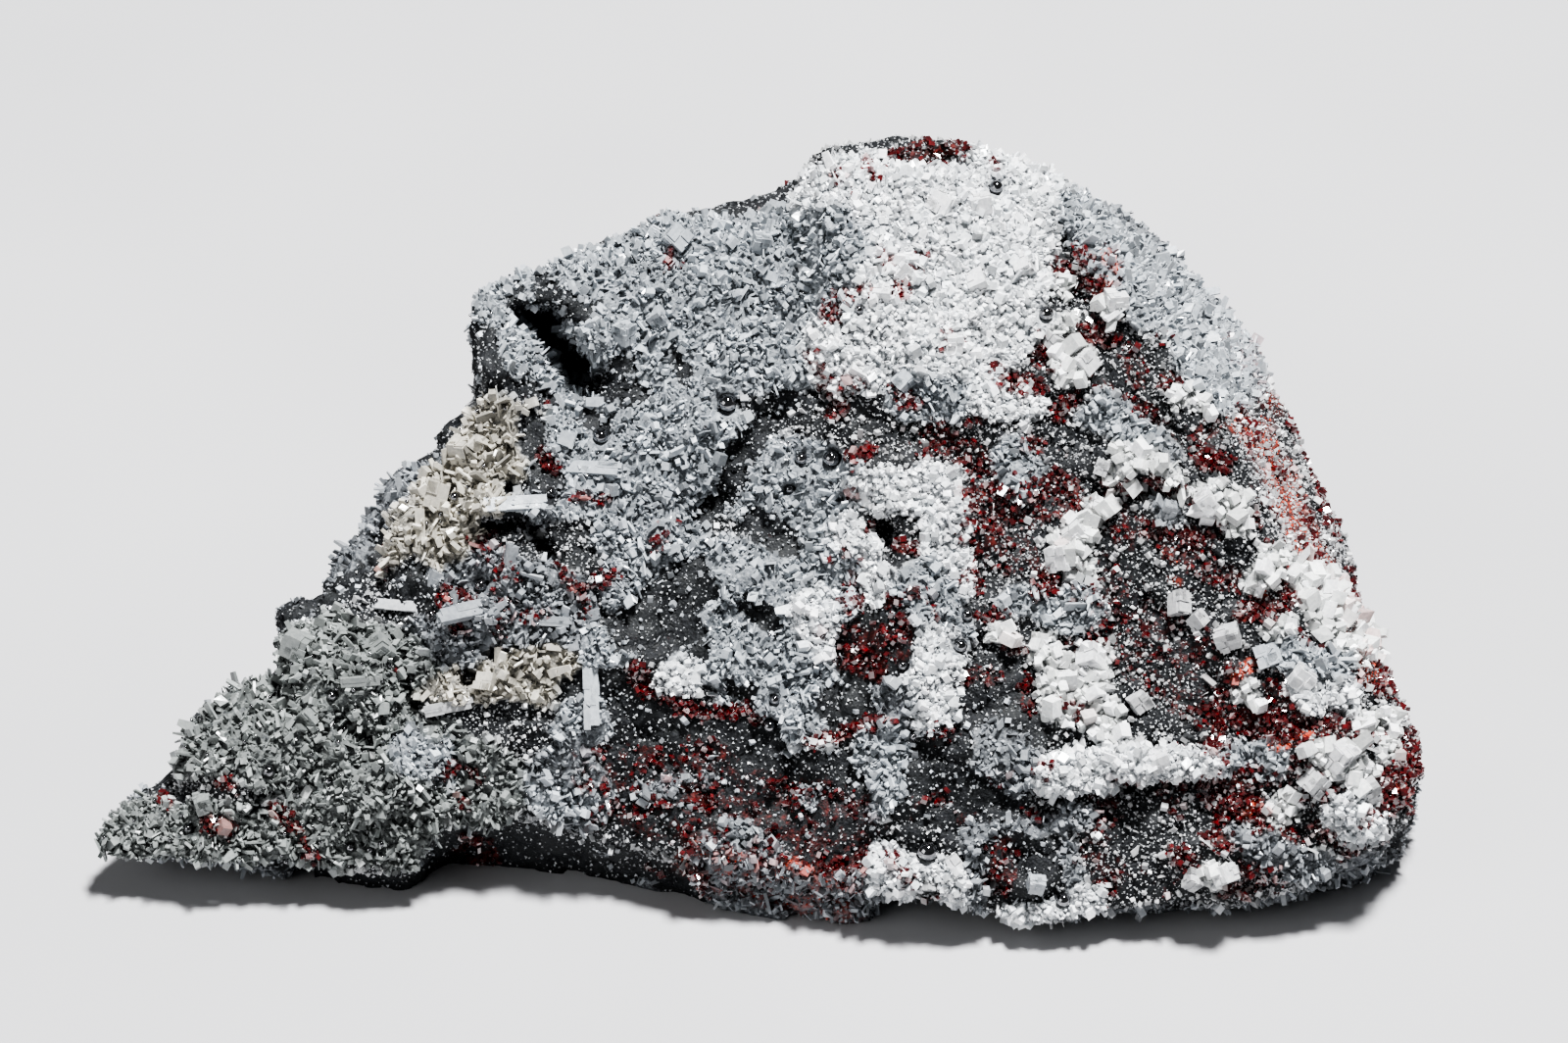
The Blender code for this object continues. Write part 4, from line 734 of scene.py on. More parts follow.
# %% Cinnabar strokes
RED_STAINS = (
    # crystals of cinnabar near the top
    (0.9, 5.9, 26.6, 6.4, 26.0, 0.4, 0.2), (0.8, 3.9, 26.2, 4.3, 25.7, 0.2, 0.2),
    (0.6, 4.9, 24.8, 5.2, 24.4, 0.2, 0.2), (0.7, 12.3, 26.8, 12.6, 26.5, 0.1, 0.1),
    (0.6, 15.7, 26.9, 16.0, 26.5, 0.1, 0.2), (0.5, 7.8, 27.8, 10.8, 28.3, 0.4, 0.3),
    (0.6, 11.5, 27.7, 13.4, 28.3, 0.4, 0.3), (0.9, 6.9, 20.1, 7.9, 19.6, 0.4, 0.2),
    (0.9, 5.4, 17.2, 8.8, 17.7, 0.4, 0.3), (0.9, 3.6, 15.6, 4.5, 16.8, 0.6, 0.2),
    (0.8, 7.9, 17.2, 8.5, 17.0, 0.4, 0.2), (0.7, 10.4, 20.4, 10.0, 18.7, 0.2, 0.2),
    (0.8, 2.4, 12.8, 3.6, 10.0, 0.4, 0.3), (0.7, 4.6, 8.8, 3.7, 8.3, 0.5, 0.3),
    (0.8, 8.3, 9.7, 9.7, 8.9, 0.4, 0.2), (0.6, 12.0, 13.9, 13.0, 13.5, 0.4, 0.3),
    (0.6, 4.6, 10.3, 5.9, 10.4, 0.4, 0.3), (0.8, 4.9, 4.8, 6.4, 5.5, 0.5, 0.3),
    # the holes and veins of the middle
    (0.7, 5.2, 2.5, 5.7, 1.5, 0.4, 0.2), (0.8, 8.6, -1.8, 10.0, -2.1, 0.4, 0.2),
    (0.6, 6.1, -0.6, 6.5, -1.2, 0.2, 0.2), (0.8, 5.5, -3.9, 5.2, -6.2, 0.7, 0.3),
    (0.7, 2.5, -7.7, 3.0, -8.9, 0.2, 0.2), (0.8, 3.4, -2.5, 3.9, -2.8, 0.2, 0.1),
    (0.8, 4.8, -2.3, 5.2, -2.7, 0.2, 0.1), (0.7, 7.8, -6.2, 10.4, -5.4, 0.4, 0.3),
    (0.7, 8.8, -7.4, 9.2, -8.5, 0.4, 0.3), (0.6, 4.6, -10.4, 7.1, -11.3, 0.7, 0.4),
    (0.5, 5.2, -8.8, 8.6, -9.5, 1.0, 0.6), (0.8, 11.2, -7.2, 11.6, -7.5, 0.2, 0.1),
    (0.9, 15.3, -7.7, 16.1, -7.1, 0.3, 0.1), (0.8, 13.8, -3.7, 14.4, -4.9, 0.4, 0.2),
    (0.9, 19.3, -5.5, 20.1, -4.9, 0.4, 0.2), (0.8, 20.1, -3.7, 20.8, -4.3, 0.4, 0.2),
    (0.7, 16.2, -8.8, 18.1, -9.7, 0.4, 0.3), (0.5, 11.5, 6.5, 14.5, 4.6, 1.0, 0.5),
    (0.55, 14.6, 1.3, 21.2, 2.0, 1.5, 0.7), (0.6, 13.8, -0.6, 16.0, -1.2, 0.7, 0.4),
    (0.6, 16.4, 10.9, 19.0, 10.4, 0.7, 0.4), (0.7, 19.8, 12.9, 20.4, 11.9, 0.4, 0.3),
    (0.7, 20.8, 8.2, 22.0, 9.2, 0.6, 0.3), (0.8, 22.8, 13.8, 24.1, 14.3, 0.7, 0.4),
    (0.7, 22.8, 20.1, 23.9, 17.5, 0.6, 0.4), (0.5, 26.4, 12.8, 26.8, 11.0, 0.7, 0.3),
    (0.5, 27.1, 8.7, 28.3, 7.7, 0.6, 0.4), (0.6, 18.6, 6.1, 19.5, 5.7, 0.5, 0.3),
    (0.4, 23.8, 0.9, 26.8, -1.0, 1.0, 0.6),
    # the lined crack on the right
    (0.95, 24.7, 2.7, 27.9, 2.4, 0.3, 0.2), (0.95, 27.9, 3.1, 31.4, 2.2, 0.4, 0.2),
    (0.95, 31.8, 1.3, 33.2, 0.0, 0.6, 0.2), (0.7, 31.7, 5.1, 32.9, 4.5, 0.6, 0.3),
    (0.7, 21.6, -13.4, 22.9, -14.6, 0.4, 0.2), (0.8, 19.8, -18.6, 20.1, -19.3, 0.2, 0.1),
    (0.8, 18.6, -21.9, 19.3, -22.2, 0.3, 0.1), (0.35, 26.0, -8.0, 31.6, -12.5, 2.8, 1.0),
    (0.35, 17.1, -1.3, 24.5, -5.1, 2.2, 1.0), (0.8, 32.9, -13.1, 32.6, -17.3, 0.5, 0.3),
    (0.85, 32.3, -19.6, 33.0, -22.3, 0.6, 0.3), (0.75, 35.1, -15.2, 37.5, -15.8, 1.0, 0.4),
    (0.75, 34.3, -20.8, 35.8, -22.0, 0.8, 0.4), (0.6, 33.1, -19.6, 37.2, -19.2, 0.7, 0.4),
    (0.85, 39.0, -14.9, 41.5, -15.4, 0.4, 0.2), (0.9, 43.4, -16.4, 47.7, -16.3, 0.3, 0.1),
    (0.7, 45.8, -19.6, 47.4, -18.1, 0.9, 0.4), (0.6, 44.2, -22.0, 46.5, -21.0, 0.6, 0.4),
    (0.7, 34.8, -6.7, 36.4, -6.4, 0.7, 0.3), (0.9, 38.5, -5.5, 38.9, -5.8, 0.2, 0.1),
    (0.8, 44.6, -12.6, 45.5, -12.9, 0.4, 0.2), (0.8, 30.0, -25.3, 30.9, -25.9, 0.6, 0.3),
    (0.6, 32.1, -24.1, 33.9, -24.5, 0.6, 0.3), (0.6, 40.5, -22.8, 41.3, -23.5, 0.5, 0.3),
    (0.5, 34.9, -26.6, 37.9, -26.6, 0.6, 0.4), (0.5, 37.2, -12.5, 37.9, -13.6, 0.6, 0.4),
    # the left side and the tail
    (0.8, -18.1, 5.2, -17.5, 4.0, 0.4, 0.2), (0.9, -15.8, 1.5, -13.1, 1.6, 0.3, 0.1),
    (0.8, -23.9, -1.5, -23.5, -2.1, 0.2, 0.1), (0.9, -25.3, -5.5, -23.2, -5.9, 0.4, 0.2),
    (0.8, -25.1, -7.7, -24.2, -8.2, 0.3, 0.1), (0.9, -16.5, -3.9, -14.9, -6.5, 0.4, 0.2),
    (0.8, -15.2, -5.1, -13.1, -3.9, 0.3, 0.2), (0.6, -9.8, -1.8, -8.8, -0.4, 0.4, 0.2),
    (0.6, -19.3, -7.4, -18.1, -7.1, 0.4, 0.2), (0.7, -29.9, -3.1, -29.6, -3.4, 0.3, 0.1),
    (0.8, -29.6, -11.3, -29.1, -11.7, 0.3, 0.1), (0.7, -38.7, -21.6, -36.4, -24.1, 0.4, 0.2),
    (0.8, -36.7, -23.3, -35.2, -25.4, 0.3, 0.1), (0.8, -43.7, -22.8, -42.4, -23.5, 0.6, 0.3),
    (0.6, -46.8, -20.8, -46.4, -21.4, 0.3, 0.1), (0.6, -43.0, -19.9, -41.6, -20.4, 0.3, 0.2),
    (0.8, -26.3, -19.2, -25.1, -18.7, 0.4, 0.2), (0.8, -23.6, -18.9, -23.2, -19.5, 0.3, 0.1),
    (0.7, -25.1, -20.5, -24.2, -21.3, 0.2, 0.1), (0.4, -22.3, -2.1, -20.8, -8.0, 1.0, 0.6),
    # streaks in the dark rock below
    (0.9, -11.4, -11.3, -10.7, -12.9, 0.5, 0.3), (0.8, -10.4, -12.9, -8.0, -13.7, 0.3, 0.2),
    (0.85, -7.6, -14.1, -3.6, -14.6, 0.4, 0.2), (0.9, -3.0, -14.4, -2.1, -14.6, 0.4, 0.2),
    (0.95, 2.1, -16.7, 5.2, -15.9, 0.4, 0.1), (0.8, 5.4, -15.6, 8.0, -15.0, 0.3, 0.1),
    (0.8, -9.7, -21.3, -8.9, -21.6, 0.3, 0.1), (0.7, -6.8, -20.8, -5.7, -21.6, 0.6, 0.3),
    (0.4, -7.4, -17.1, -4.1, -17.8, 0.7, 0.4), (0.5, -9.8, -18.1, -8.8, -18.0, 0.4, 0.3),
    (0.6, -7.7, -23.6, -7.1, -24.5, 0.4, 0.3), (0.6, -6.8, -26.5, -5.8, -27.7, 0.6, 0.4),
    (0.5, 2.6, -25.9, 5.2, -27.0, 0.7, 0.4), (0.5, 5.9, -25.1, 5.7, -26.8, 0.6, 0.4),
    (0.7, 8.0, -25.9, 9.7, -27.2, 0.4, 0.3), (0.8, -9.1, 19.9, -8.6, 19.3, 0.4, 0.1),
    (0.7, -16.0, 16.4, -15.7, 16.0, 0.1, 0.1), (0.6, -18.4, 9.4, -18.1, 9.1, 0.1, 0.1),
    (0.35, -13.4, -19.9, 4.5, -23.6, 3.0, 1.0),
)
POWDER = (
    # bright vermilion powder
    (0.9, 24.2, 20.1, 25.9, 18.1, 0.2, 0.1), (0.9, 24.5, 18.0, 25.0, 17.4, 0.2, 0.1),
    (0.9, 34.1, -11.9, 35.7, -11.0, 0.4, 0.1), (0.9, 37.8, -17.1, 39.6, -16.4, 0.4, 0.1),
    (0.8, 36.1, -5.7, 36.7, -5.4, 0.2, 0.1), (0.8, 34.9, -22.0, 35.8, -21.3, 0.3, 0.2),
    (0.8, -0.3, -25.6, 2.4, -26.5, 0.2, 0.1), (0.6, 3.3, -26.5, 5.6, -26.6, 0.2, 0.2),
    (0.8, 22.2, 11.5, 22.5, 11.3, 0.1, 0.1), (0.7, 43.0, -11.6, 43.4, -12.0, 0.2, 0.1),
    (0.6, 46.7, -20.4, 47.7, -17.5, 0.4, 0.3), (0.4, 29.7, -4.3, 30.0, -4.6, 0.3, 0.1),
    (0.4, 29.4, -2.7, 29.7, -3.0, 0.2, 0.1), (0.35, -6.5, -25.9, 4.5, -28.8, 1.5, 0.6),
    # the reddened flank
    (0.45, 34.3, 8.0, 37.2, 3.9, 0.7, 0.4), (0.5, 37.2, 3.9, 40.5, -3.6, 1.0, 0.6),
    (0.5, 40.5, -3.6, 45.0, -11.7, 0.9, 0.4), (0.3, 34.3, 13.9, 37.2, 9.8, 1.3, 0.6),
    (0.4, 36.4, 6.8, 37.9, 0.9, 0.6, 0.4),
)
print("strokes of cinnabar:", len(RED_STAINS), "of powder:", len(POWDER))

# %% [markdown]
# The hidden sides have no strokes of their own. Soft noise parts them into bare rock and thin crust,
# like the face but plainer, and the two kinds blend where the face turns over its edges.

# %% Painting the grid
RAGGED = ((2.4, 0.55, 51), (0.9, 0.35, 52))  # how far noise shifts a stroke's place: cell, mm, seed
OTHER_NOISE = 40.0  # shifted by this many millimetres, the same noise serves a second time
RED_RAGGED = 0.6  # the edges of stains are less ragged than those of the crust
TURN_STEPS = 7  # the face's finish runs this many steps over its edges
# on the hidden sides: noise that makes patches, the level where a patch starts, and its soft edge
BACK_CRUST, BACK_CRUST_START, BACK_CRUST_EDGE = ((13.0, 1.0, 61), (4.0, 0.5, 62)), 0.25, 0.3
BACK_RED, BACK_RED_START, BACK_RED_EDGE = ((7.3, 0.55, 63), (3.1, 0.55, 64), (1.3, 0.45, 65)), 0.62, 0.4
BACK_RED_STRENGTH = 0.7
BACK_SPECKS = 0.6  # share of the specks on the face's dark rock
# dark rock to the right of this u is soaked in red, in clouds of this cell and seed
SOAKED_FROM, SOAKED_OVER, SOAKED_STRENGTH, SOAKED_CLOUDS = 6.0, 8.0, 0.55, (2.6, 85)


def laid(u, v, rows):
    """The strongest of some strokes at each place: the largest of strength times stroke."""
    value = np.zeros(u.shape)
    for strength, *ends, half, fade in rows:
        value = np.maximum(value, strength * stroke(u, v, ends, half, fade))
    return value


def finish_numbers():
    """Each finish as its six numbers: cover, size, specks, red, green and blue."""
    return {name: np.array([*row[:3], *row[3]]) for name, row in FINISHES.items()}


def painted(u, v):
    """Cover, size, specks and colour at each place: six columns, moved towards each stroke's own."""
    kinds = finish_numbers()
    columns = np.broadcast_to(kinds["speckled"], (*u.shape, 6)).copy()
    for kind, rows in PATCHES:
        for *ends, half, fade in rows:
            columns += (kinds[kind] - columns) * stroke(u, v, ends, half, fade)[..., None]
    return columns


def hidden_finish(points):
    """The same six columns for the hidden sides, from noise, and the strength of red there."""
    kinds = finish_numbers()
    crust_noise = noise_sum(lattice_noise, points, BACK_CRUST)
    crust = smooth_step((crust_noise - BACK_CRUST_START) / BACK_CRUST_EDGE)
    rock = kinds["slate"] * (1.0, 1.0, BACK_SPECKS, 1.0, 1.0, 1.0)
    columns = rock + (kinds["grey"] - rock) * crust[..., None]
    red_noise = noise_sum(lattice_noise, points, BACK_RED)
    return columns, BACK_RED_STRENGTH * smooth_step((red_noise - BACK_RED_START) / BACK_RED_EDGE)


u, v = sight_place(skin)
shift_u = noise_sum(lattice_noise, skin, RAGGED)
shift_v = noise_sum(lattice_noise, skin + OTHER_NOISE, RAGGED)
step = np.arange(LOOP)
seen = FACE_STEPS + FLANK_STEPS
back_share = np.minimum(smooth_step((step - seen) / TURN_STEPS), smooth_step((LOOP - step) / TURN_STEPS))
back_share = np.broadcast_to(back_share[None, :], (ROWS, LOOP))
back_columns, back_red = hidden_finish(skin)
finish_columns = painted(u + shift_u, v + shift_v)
finish_columns += (back_columns - finish_columns) * back_share[..., None]
cover, grain, specks = np.moveaxis(finish_columns[..., :3], -1, 0)
crystal_colour = finish_columns[..., 3:]
red_u, red_v = u + RED_RAGGED * shift_u, v + RED_RAGGED * shift_v
red = laid(red_u, red_v, RED_STAINS)
red += (back_red - red) * back_share
clouds = smooth_step((lattice_noise(skin, *SOAKED_CLOUDS) + 0.1) / 0.5)
soaked = clouds * smooth_step((u - SOAKED_FROM) / SOAKED_OVER)
red = np.maximum(red, SOAKED_STRENGTH * soaked * (1.0 - cover) * (1.0 - back_share))
powder = laid(red_u, red_v, POWDER) * (1.0 - back_share)
print("mean cover:", round(float(cover.mean()), 2), "red:", round(float(red.mean()), 3))

# %% [markdown]
# ## Beads and their pits
# A bead of mercury neither wets the crystals nor sinks in: it lies in a small pit, like a ball in a
# bowl. The solid's droplets give the place and size of each bead. The skin is thickened where crust
# covers it, roughened where it doesn't, and pressed down behind each bead.

# %% The crust's thickness and the pits
CRUST_THICKNESS = 0.30
CRUST_LUMPS = ((1.5, 0.16, 71), (0.75, 0.10, 72))
ROCK_FACETS = ((1.1, 0.16, 73),)
PIT_GAP = 0.12  # room between a bead and its pit
PIT_REACH = 4.0  # a pit reaches this many radii along the line of sight

droplets = {}
for name in sorted(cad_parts):
    if name.startswith("mercury_"):
        low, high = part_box(name)
        droplets[name] = (np.array((low + high) / 2.0) / MM, float(max(high - low)) / MM / 2.0)


def beside_sight(points, centre):
    """Where points lie as the camera sees them: the line of sight through a bead's middle, how far
    along it each point lies behind that middle, and how far aside from it."""
    sight = unit(centre - np.array(eye))
    offset = points - centre
    along = offset @ sight
    return sight, along, np.linalg.norm(offset - along[..., None] * sight, axis=-1)


def press_pits(points, beads):
    """Presses points down behind each bead, along the line of sight: a point at distance d from that
    line is no nearer than a ball's rear surface, which lies sqrt(R^2 - d^2) behind the bead's middle.
    R is the bead's radius with the gap round it."""
    pressed = points.copy()
    for centre, radius in beads:
        sight, along, aside = beside_sight(pressed, centre)
        reach = radius + PIT_GAP
        rear = np.sqrt(np.maximum(reach**2 - aside**2, 0.0))
        near = (aside < reach) & (np.abs(along) < PIT_REACH * radius)
        sunk = np.where(near, np.maximum(rear - along, 0.0), 0.0)
        pressed += sunk[..., None] * sight
    return pressed


thick = cover * (CRUST_THICKNESS + noise_sum(lattice_noise, skin, CRUST_LUMPS))
rough = (1.0 - cover) * noise_sum(facet_noise, skin, ROCK_FACETS)
skin = skin + grid_outward(skin) * (thick + rough)[..., None]
skin = press_pits(skin, droplets.values())
skin[..., 2] = np.maximum(skin[..., 2], 0.0)
outward = grid_outward(skin)
lowest, highest = skin.min(axis=(0, 1)), skin.max(axis=(0, 1))
print("beads:", len(droplets), "skin from", np.round(lowest, 1), "to", np.round(highest, 1))

# %% [markdown]
# ## Putting arrays into meshes
# Blender can add vertices and faces one at a time, but whole arrays go in with foreach_set in a
# fraction of a second. One helper does it for every piece, and also stores a colour or a value on each
# vertex, which a material can read as an attribute.

# %% Helpers for meshes
def new_piece(name, points, faces, material, smooth=False, colours=None, values=None):
    """A mesh object from points in millimetres, and a list of arrays of faces, one for each number of
    corners. Colours are a dictionary of (vertices, 3) arrays, values one of (vertices,) arrays."""
    mesh = bpy.data.meshes.new(name)
    points = np.asarray(points).reshape(-1, 3)
    corners = np.concatenate([part.ravel() for part in faces])
    sizes = np.concatenate([np.full(len(part), part.shape[1]) for part in faces])
    mesh.vertices.add(len(points))
    mesh.vertices.foreach_set("co", (points * MM).ravel())
    mesh.loops.add(len(corners))
    mesh.loops.foreach_set("vertex_index", corners)
    mesh.polygons.add(len(sizes))
    mesh.polygons.foreach_set("loop_start", np.cumsum(sizes) - sizes)
    mesh.polygons.foreach_set("use_smooth", np.full(len(sizes), smooth))
    for key, colour in (colours or {}).items():
        whole = np.concatenate([colour.reshape(-1, 3), np.ones((len(points), 1))], axis=1)
        mesh.attributes.new(key, "FLOAT_COLOR", "POINT").data.foreach_set("color", whole.ravel())
    for key, value in (values or {}).items():
        mesh.attributes.new(key, "FLOAT", "POINT").data.foreach_set("value", np.asarray(value).ravel())
    mesh.update(calc_edges=True)
    mesh.materials.append(material)
    piece = bpy.data.objects.new(name, mesh)
    bpy.context.scene.collection.objects.link(piece)
    triangles = int((sizes - 2).sum())
    print(f"{name}: {triangles} triangles")
    return piece


def placed(piece, slot, *nodes):
    """The piece moves with the one body and stands for the nodes named. The slot is not used."""
    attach(piece, "root")
    if nodes:
        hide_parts(*nodes)
    return piece


# %% [markdown]
# ## Materials by nodes
# Every finish is a Principled shader with a few noise patterns on Object coordinates, which are metres
# on this object. The helpers below keep the wiring short: one makes a node and joins its inputs, and
# the others name what happens all the time, such as a pattern, a mix and a ramp.

# %% Helpers for materials
class Finish:
    """One material under construction, with its shader and its Object coordinates at hand."""

    def __init__(self, name):
        self.material = bpy.data.materials.new(name)
        self.material.use_nodes = True
        self.tree = self.material.node_tree
        self.shader = self.tree.nodes["Principled BSDF"]
        self.place = self.tree.nodes.new("ShaderNodeTexCoord").outputs["Object"]

    def join(self, value, socket):
        """Links an output to a socket, or sets the socket to a value."""
        if isinstance(value, bpy.types.NodeSocket):
            self.tree.links.new(value, socket)
        elif isinstance(value, tuple) and len(value) == 3 and socket.type == "RGBA":
            socket.default_value = (*value, 1.0)
        else:
            socket.default_value = value

    def node(self, kind, inputs, **settings):
        """A node of a kind, with settings by name and inputs by number or name."""
        made = self.tree.nodes.new("ShaderNode" + kind)
        for key, value in settings.items():
            setattr(made, key, value)
        for key, value in inputs.items():
            self.join(value, made.inputs[key])
        return made

    def read(self, name, output="Fac"):
        """The attribute of that name."""
        return self.node("Attribute", {}, attribute_name=name).outputs[output]

    def noise(self, size_mm, detail=2.0, rough=0.55):
        """Soft noise whose lumps are about that size, from 0 to 1."""
        return self.node(
            "TexNoise",
            {"Vector": self.place, "Scale": 1.0 / (size_mm * MM), "Detail": detail, "Roughness": rough},
        ).outputs["Fac"]

    def cells(self, size_mm):
        """Cells of about that size: the distance to the middle of the nearest one, over its size."""
        made = self.node("TexVoronoi", {"Vector": self.place, "Scale": 1.0 / (size_mm * MM)})
        return made.outputs["Distance"]

    def ramp(self, value, low, high, to_low=0.0, to_high=1.0):
        """The value, stretched from low..high to to_low..to_high and kept there."""
        return self.node(
            "MapRange", {0: value, 1: low, 2: high, 3: to_low, 4: to_high}, clamp=True
        ).outputs[0]

    def add(self, first, second):
        """The sum of two values."""
        return self.node("Math", {0: first, 1: second}, operation="ADD").outputs[0]

    def times(self, first, second):
        """The product of two values."""
        return self.node("Math", {0: first, 1: second}, operation="MULTIPLY").outputs[0]

    def mix(self, share, first, second, blend="MIX"):
        """Two colours mixed by a share."""
        made = self.node("Mix", {}, data_type="RGBA", blend_type=blend)
        self.join(share, made.inputs[0])
        self.join(first, made.inputs[6])
        self.join(second, made.inputs[7])
        return made.outputs[2]

    def bump(self, height, strength, depth_mm):
        """Leans the shader's normals by a height pattern."""
        made = self.node("Bump", {"Height": height, "Strength": strength, "Distance": depth_mm * MM})
        self.join(made.outputs["Normal"], self.shader.inputs["Normal"])

    def set(self, **inputs):
        """Values or outputs for the shader's sockets: underscores stand for spaces."""
        for key, value in inputs.items():
            self.join(value, self.shader.inputs[key.replace("_", " ")])
        return self.material


print("helpers for materials are ready")

# %% [markdown]
# ## The rock
# The bare rock is a nearly black, fine-grained slate with hardly any gloss, strewn with white dots too
# small to model. Where cinnabar has soaked in, it is a dull red-brown. Under the crystals the skin takes
# their colour, so that no dark rock shows through gaps in a thick crust, but only a fifth to three
# quarters as bright: painted shade, for the gaps between the crystals. Each of these could be a material
# of its own on a set of faces, but then their borders would follow the grid. So all of it is one
# material, which reads what was painted on the grid.

# %% The material of the rock
SLATE_DARK, SLATE_LIGHT, SLATE_CLOUDS = (0.004, 0.005, 0.006), (0.030, 0.032, 0.036), (0.045, 0.048, 0.048)
DOT_WHITE = (0.50, 0.51, 0.52)
RED_BROWN_DARK, RED_BROWN_LIGHT = (0.040, 0.007, 0.007), (0.180, 0.028, 0.022)
# painted shade: the skin under the crust is dimmed below its crystals' colour, for the gaps between them
GAP_SHADE_DEEP, GAP_SHADE_SOFT = (0.22, 0.23, 0.25), (0.75, 0.75, 0.75)  # times the colour of the crystals
VERMILION = (0.56, 0.085, 0.045)


def rock_material():
    """Slate stained by red and powder, under crust colour with painted shade, where cover says so."""
    rock = Finish("crusted_rock")
    fine, coarse = rock.noise(0.35, 3.0, 0.65), rock.noise(2.6, 3.0, 0.6)
    slate = rock.mix(rock.ramp(fine, 0.35, 0.70), SLATE_DARK, SLATE_LIGHT)
    slate = rock.mix(rock.ramp(coarse, 0.45, 0.68, 0.0, 0.4), slate, SLATE_CLOUDS)
    dots = rock.ramp(rock.cells(0.32), 0.20, 0.12)
    dots = rock.times(dots, rock.ramp(rock.read("specks"), 1.0, 13.0, 0.10, 0.85))
    slate = rock.mix(dots, slate, DOT_WHITE)
    stain = rock.add(rock.read("red"), rock.ramp(rock.noise(0.8, 3.0, 0.7), 0.35, 0.70, -0.35, 0.35))
    stain = rock.ramp(stain, 0.30, 0.75, 0.0, 0.92)
    red_brown = rock.mix(rock.ramp(fine, 0.40, 0.65), RED_BROWN_DARK, RED_BROWN_LIGHT)
    base = rock.mix(stain, slate, red_brown)
    # painted shade: the crust colour under the crystals, dimmed for the gaps between them
    pale = rock.mix(rock.ramp(fine, 0.35, 0.65), GAP_SHADE_DEEP, GAP_SHADE_SOFT)
    pale = rock.mix(1.0, rock.read("crust_colour", "Color"), pale, "MULTIPLY")
    ragged = rock.add(rock.read("cover"), rock.ramp(rock.noise(0.7, 2.0), 0.3, 0.7, -0.30, 0.30))
    base = rock.mix(rock.ramp(ragged, 0.40, 0.70), base, pale)
    dust = rock.times(rock.read("powder"), rock.ramp(rock.noise(0.5, 3.0, 0.7), 0.38, 0.60))
    base = rock.mix(dust, base, VERMILION)
    rock.bump(rock.add(fine, rock.cells(0.22)), strength=0.55, depth_mm=0.10)
    return rock.set(Base_Color=base, Roughness=rock.ramp(fine, 0.3, 0.7, 0.50, 0.80), IOR=1.36)


ROCK = rock_material()
print("rock material:", len(ROCK.node_tree.nodes), "nodes")

# %% [markdown]
# The grid closes on itself round each station. Its two ends, the tail tip and the right end, could be
# left open or capped by one big face, which would shade badly. Fans of triangles round a middle point
# close them, so the skin is one closed surface.

# %% The skin of the block
def closed_grid_faces(rows, loop):
    """Quads between neighbouring rows, and two fans to middle points which follow the grid's own."""
    number = np.arange(rows * loop).reshape(rows, loop)
    after = np.roll(number, -1, axis=1)
    quads = np.stack([number[:-1], number[1:], after[1:], after[:-1]], axis=-1).reshape(-1, 4)
    first = np.stack([number[0], after[0], np.full(loop, rows * loop)], axis=-1)
    last = np.stack([after[-1], number[-1], np.full(loop, rows * loop + 1)], axis=-1)
    return [quads, np.concatenate([first, last])]


def with_poles(values):
    """The grid's values in one column, followed by the mean of its first and last rows."""
    table = values.reshape(ROWS, LOOP, -1)
    return np.concatenate([table.reshape(ROWS * LOOP, -1), table[:1].mean(axis=1), table[-1:].mean(axis=1)])


rock_skin = new_piece(
    "matrix_rock",
    with_poles(skin),
    closed_grid_faces(ROWS, LOOP),
    ROCK,
    smooth=True,
    colours={"crust_colour": with_poles(crystal_colour)},
    values={
        "cover": with_poles(cover),
        "red": with_poles(red),
        "powder": with_poles(powder),
        "specks": with_poles(specks),
    },
)
placed(rock_skin, "rock", "matrix")

# %% [markdown]
# ## Where crystals grow
# Crystals could be scattered by a particle system, but the finished piece has to be one plain mesh, and
# each crystal should fit the crust it stands in. So a density is worked out for every quad of the grid,
# in crystals on a square millimetre. The densities add up along one long line, and even steps along
# that line, each shifted a little at random, choose the quads. That spreads the crystals evenly, with
# none of the clumps that pure chance would make.

# %% Scattering over the grid
def mesh_areas(grid):
    """The area of each quad in square millimetres: half the cross product of its diagonals."""
    after = np.roll(grid, -1, axis=1)
    diagonals = np.cross(after[1:] - grid[:-1], after[:-1] - grid[1:])
    return 0.5 * np.linalg.norm(diagonals, axis=-1)


AREAS = mesh_areas(skin)


def scatter(density, most, chance):
    """Places for crystals, as the row and column of a quad and two shares across it. Each quad wants
    its area times the mean density of its corners. Even steps along the running sum of these, each
    shifted within its own step, choose the quads. There are no more places than `most`."""
    after = np.roll(density, -1, axis=1)
    mean = 0.25 * (density[:-1] + density[1:] + after[:-1] + after[1:])
    wanted = (AREAS * mean).ravel()
    line = np.cumsum(wanted)
    count = int(min(line[-1], most))
    steps = (np.arange(count) + chance.uniform(0.0, 1.0, count)) / count * line[-1]
    quad = np.minimum(np.searchsorted(line, steps), len(line) - 1)
    print(f"  wanted {line[-1]:.0f}, placed {count}")
    return quad // LOOP, quad % LOOP, chance.uniform(0.0, 1.0, count), chance.uniform(0.0, 1.0, count)


def at(places, values):
    """The grid's values at scattered places, blended between the four corners of their quads, first
    along the row and then down to the next row."""
    row, column, down, along = places
    after = (column + 1) % LOOP
    if values.ndim == 3:
        down, along = down[:, None], along[:, None]
    near = values[row, column] * (1.0 - along) + values[row, after] * along
    far = values[row + 1, column] * (1.0 - along) + values[row + 1, after] * along
    return near * (1.0 - down) + far * down


print("area of the skin:", round(float(AREAS.sum())), "square mm")

# %% [markdown]
# ## One crystal, thousands of times
# The carbonate grows as rhombs, which are cubes pushed over along their long diagonal, and as thin
# blades. Both are boxes with leaning edges: eight corners, each the middle plus or minus half of three
# edge vectors. So thousands of crystals are a single sum of arrays. A taper draws the outer corners
# together, which makes some of them pointed.

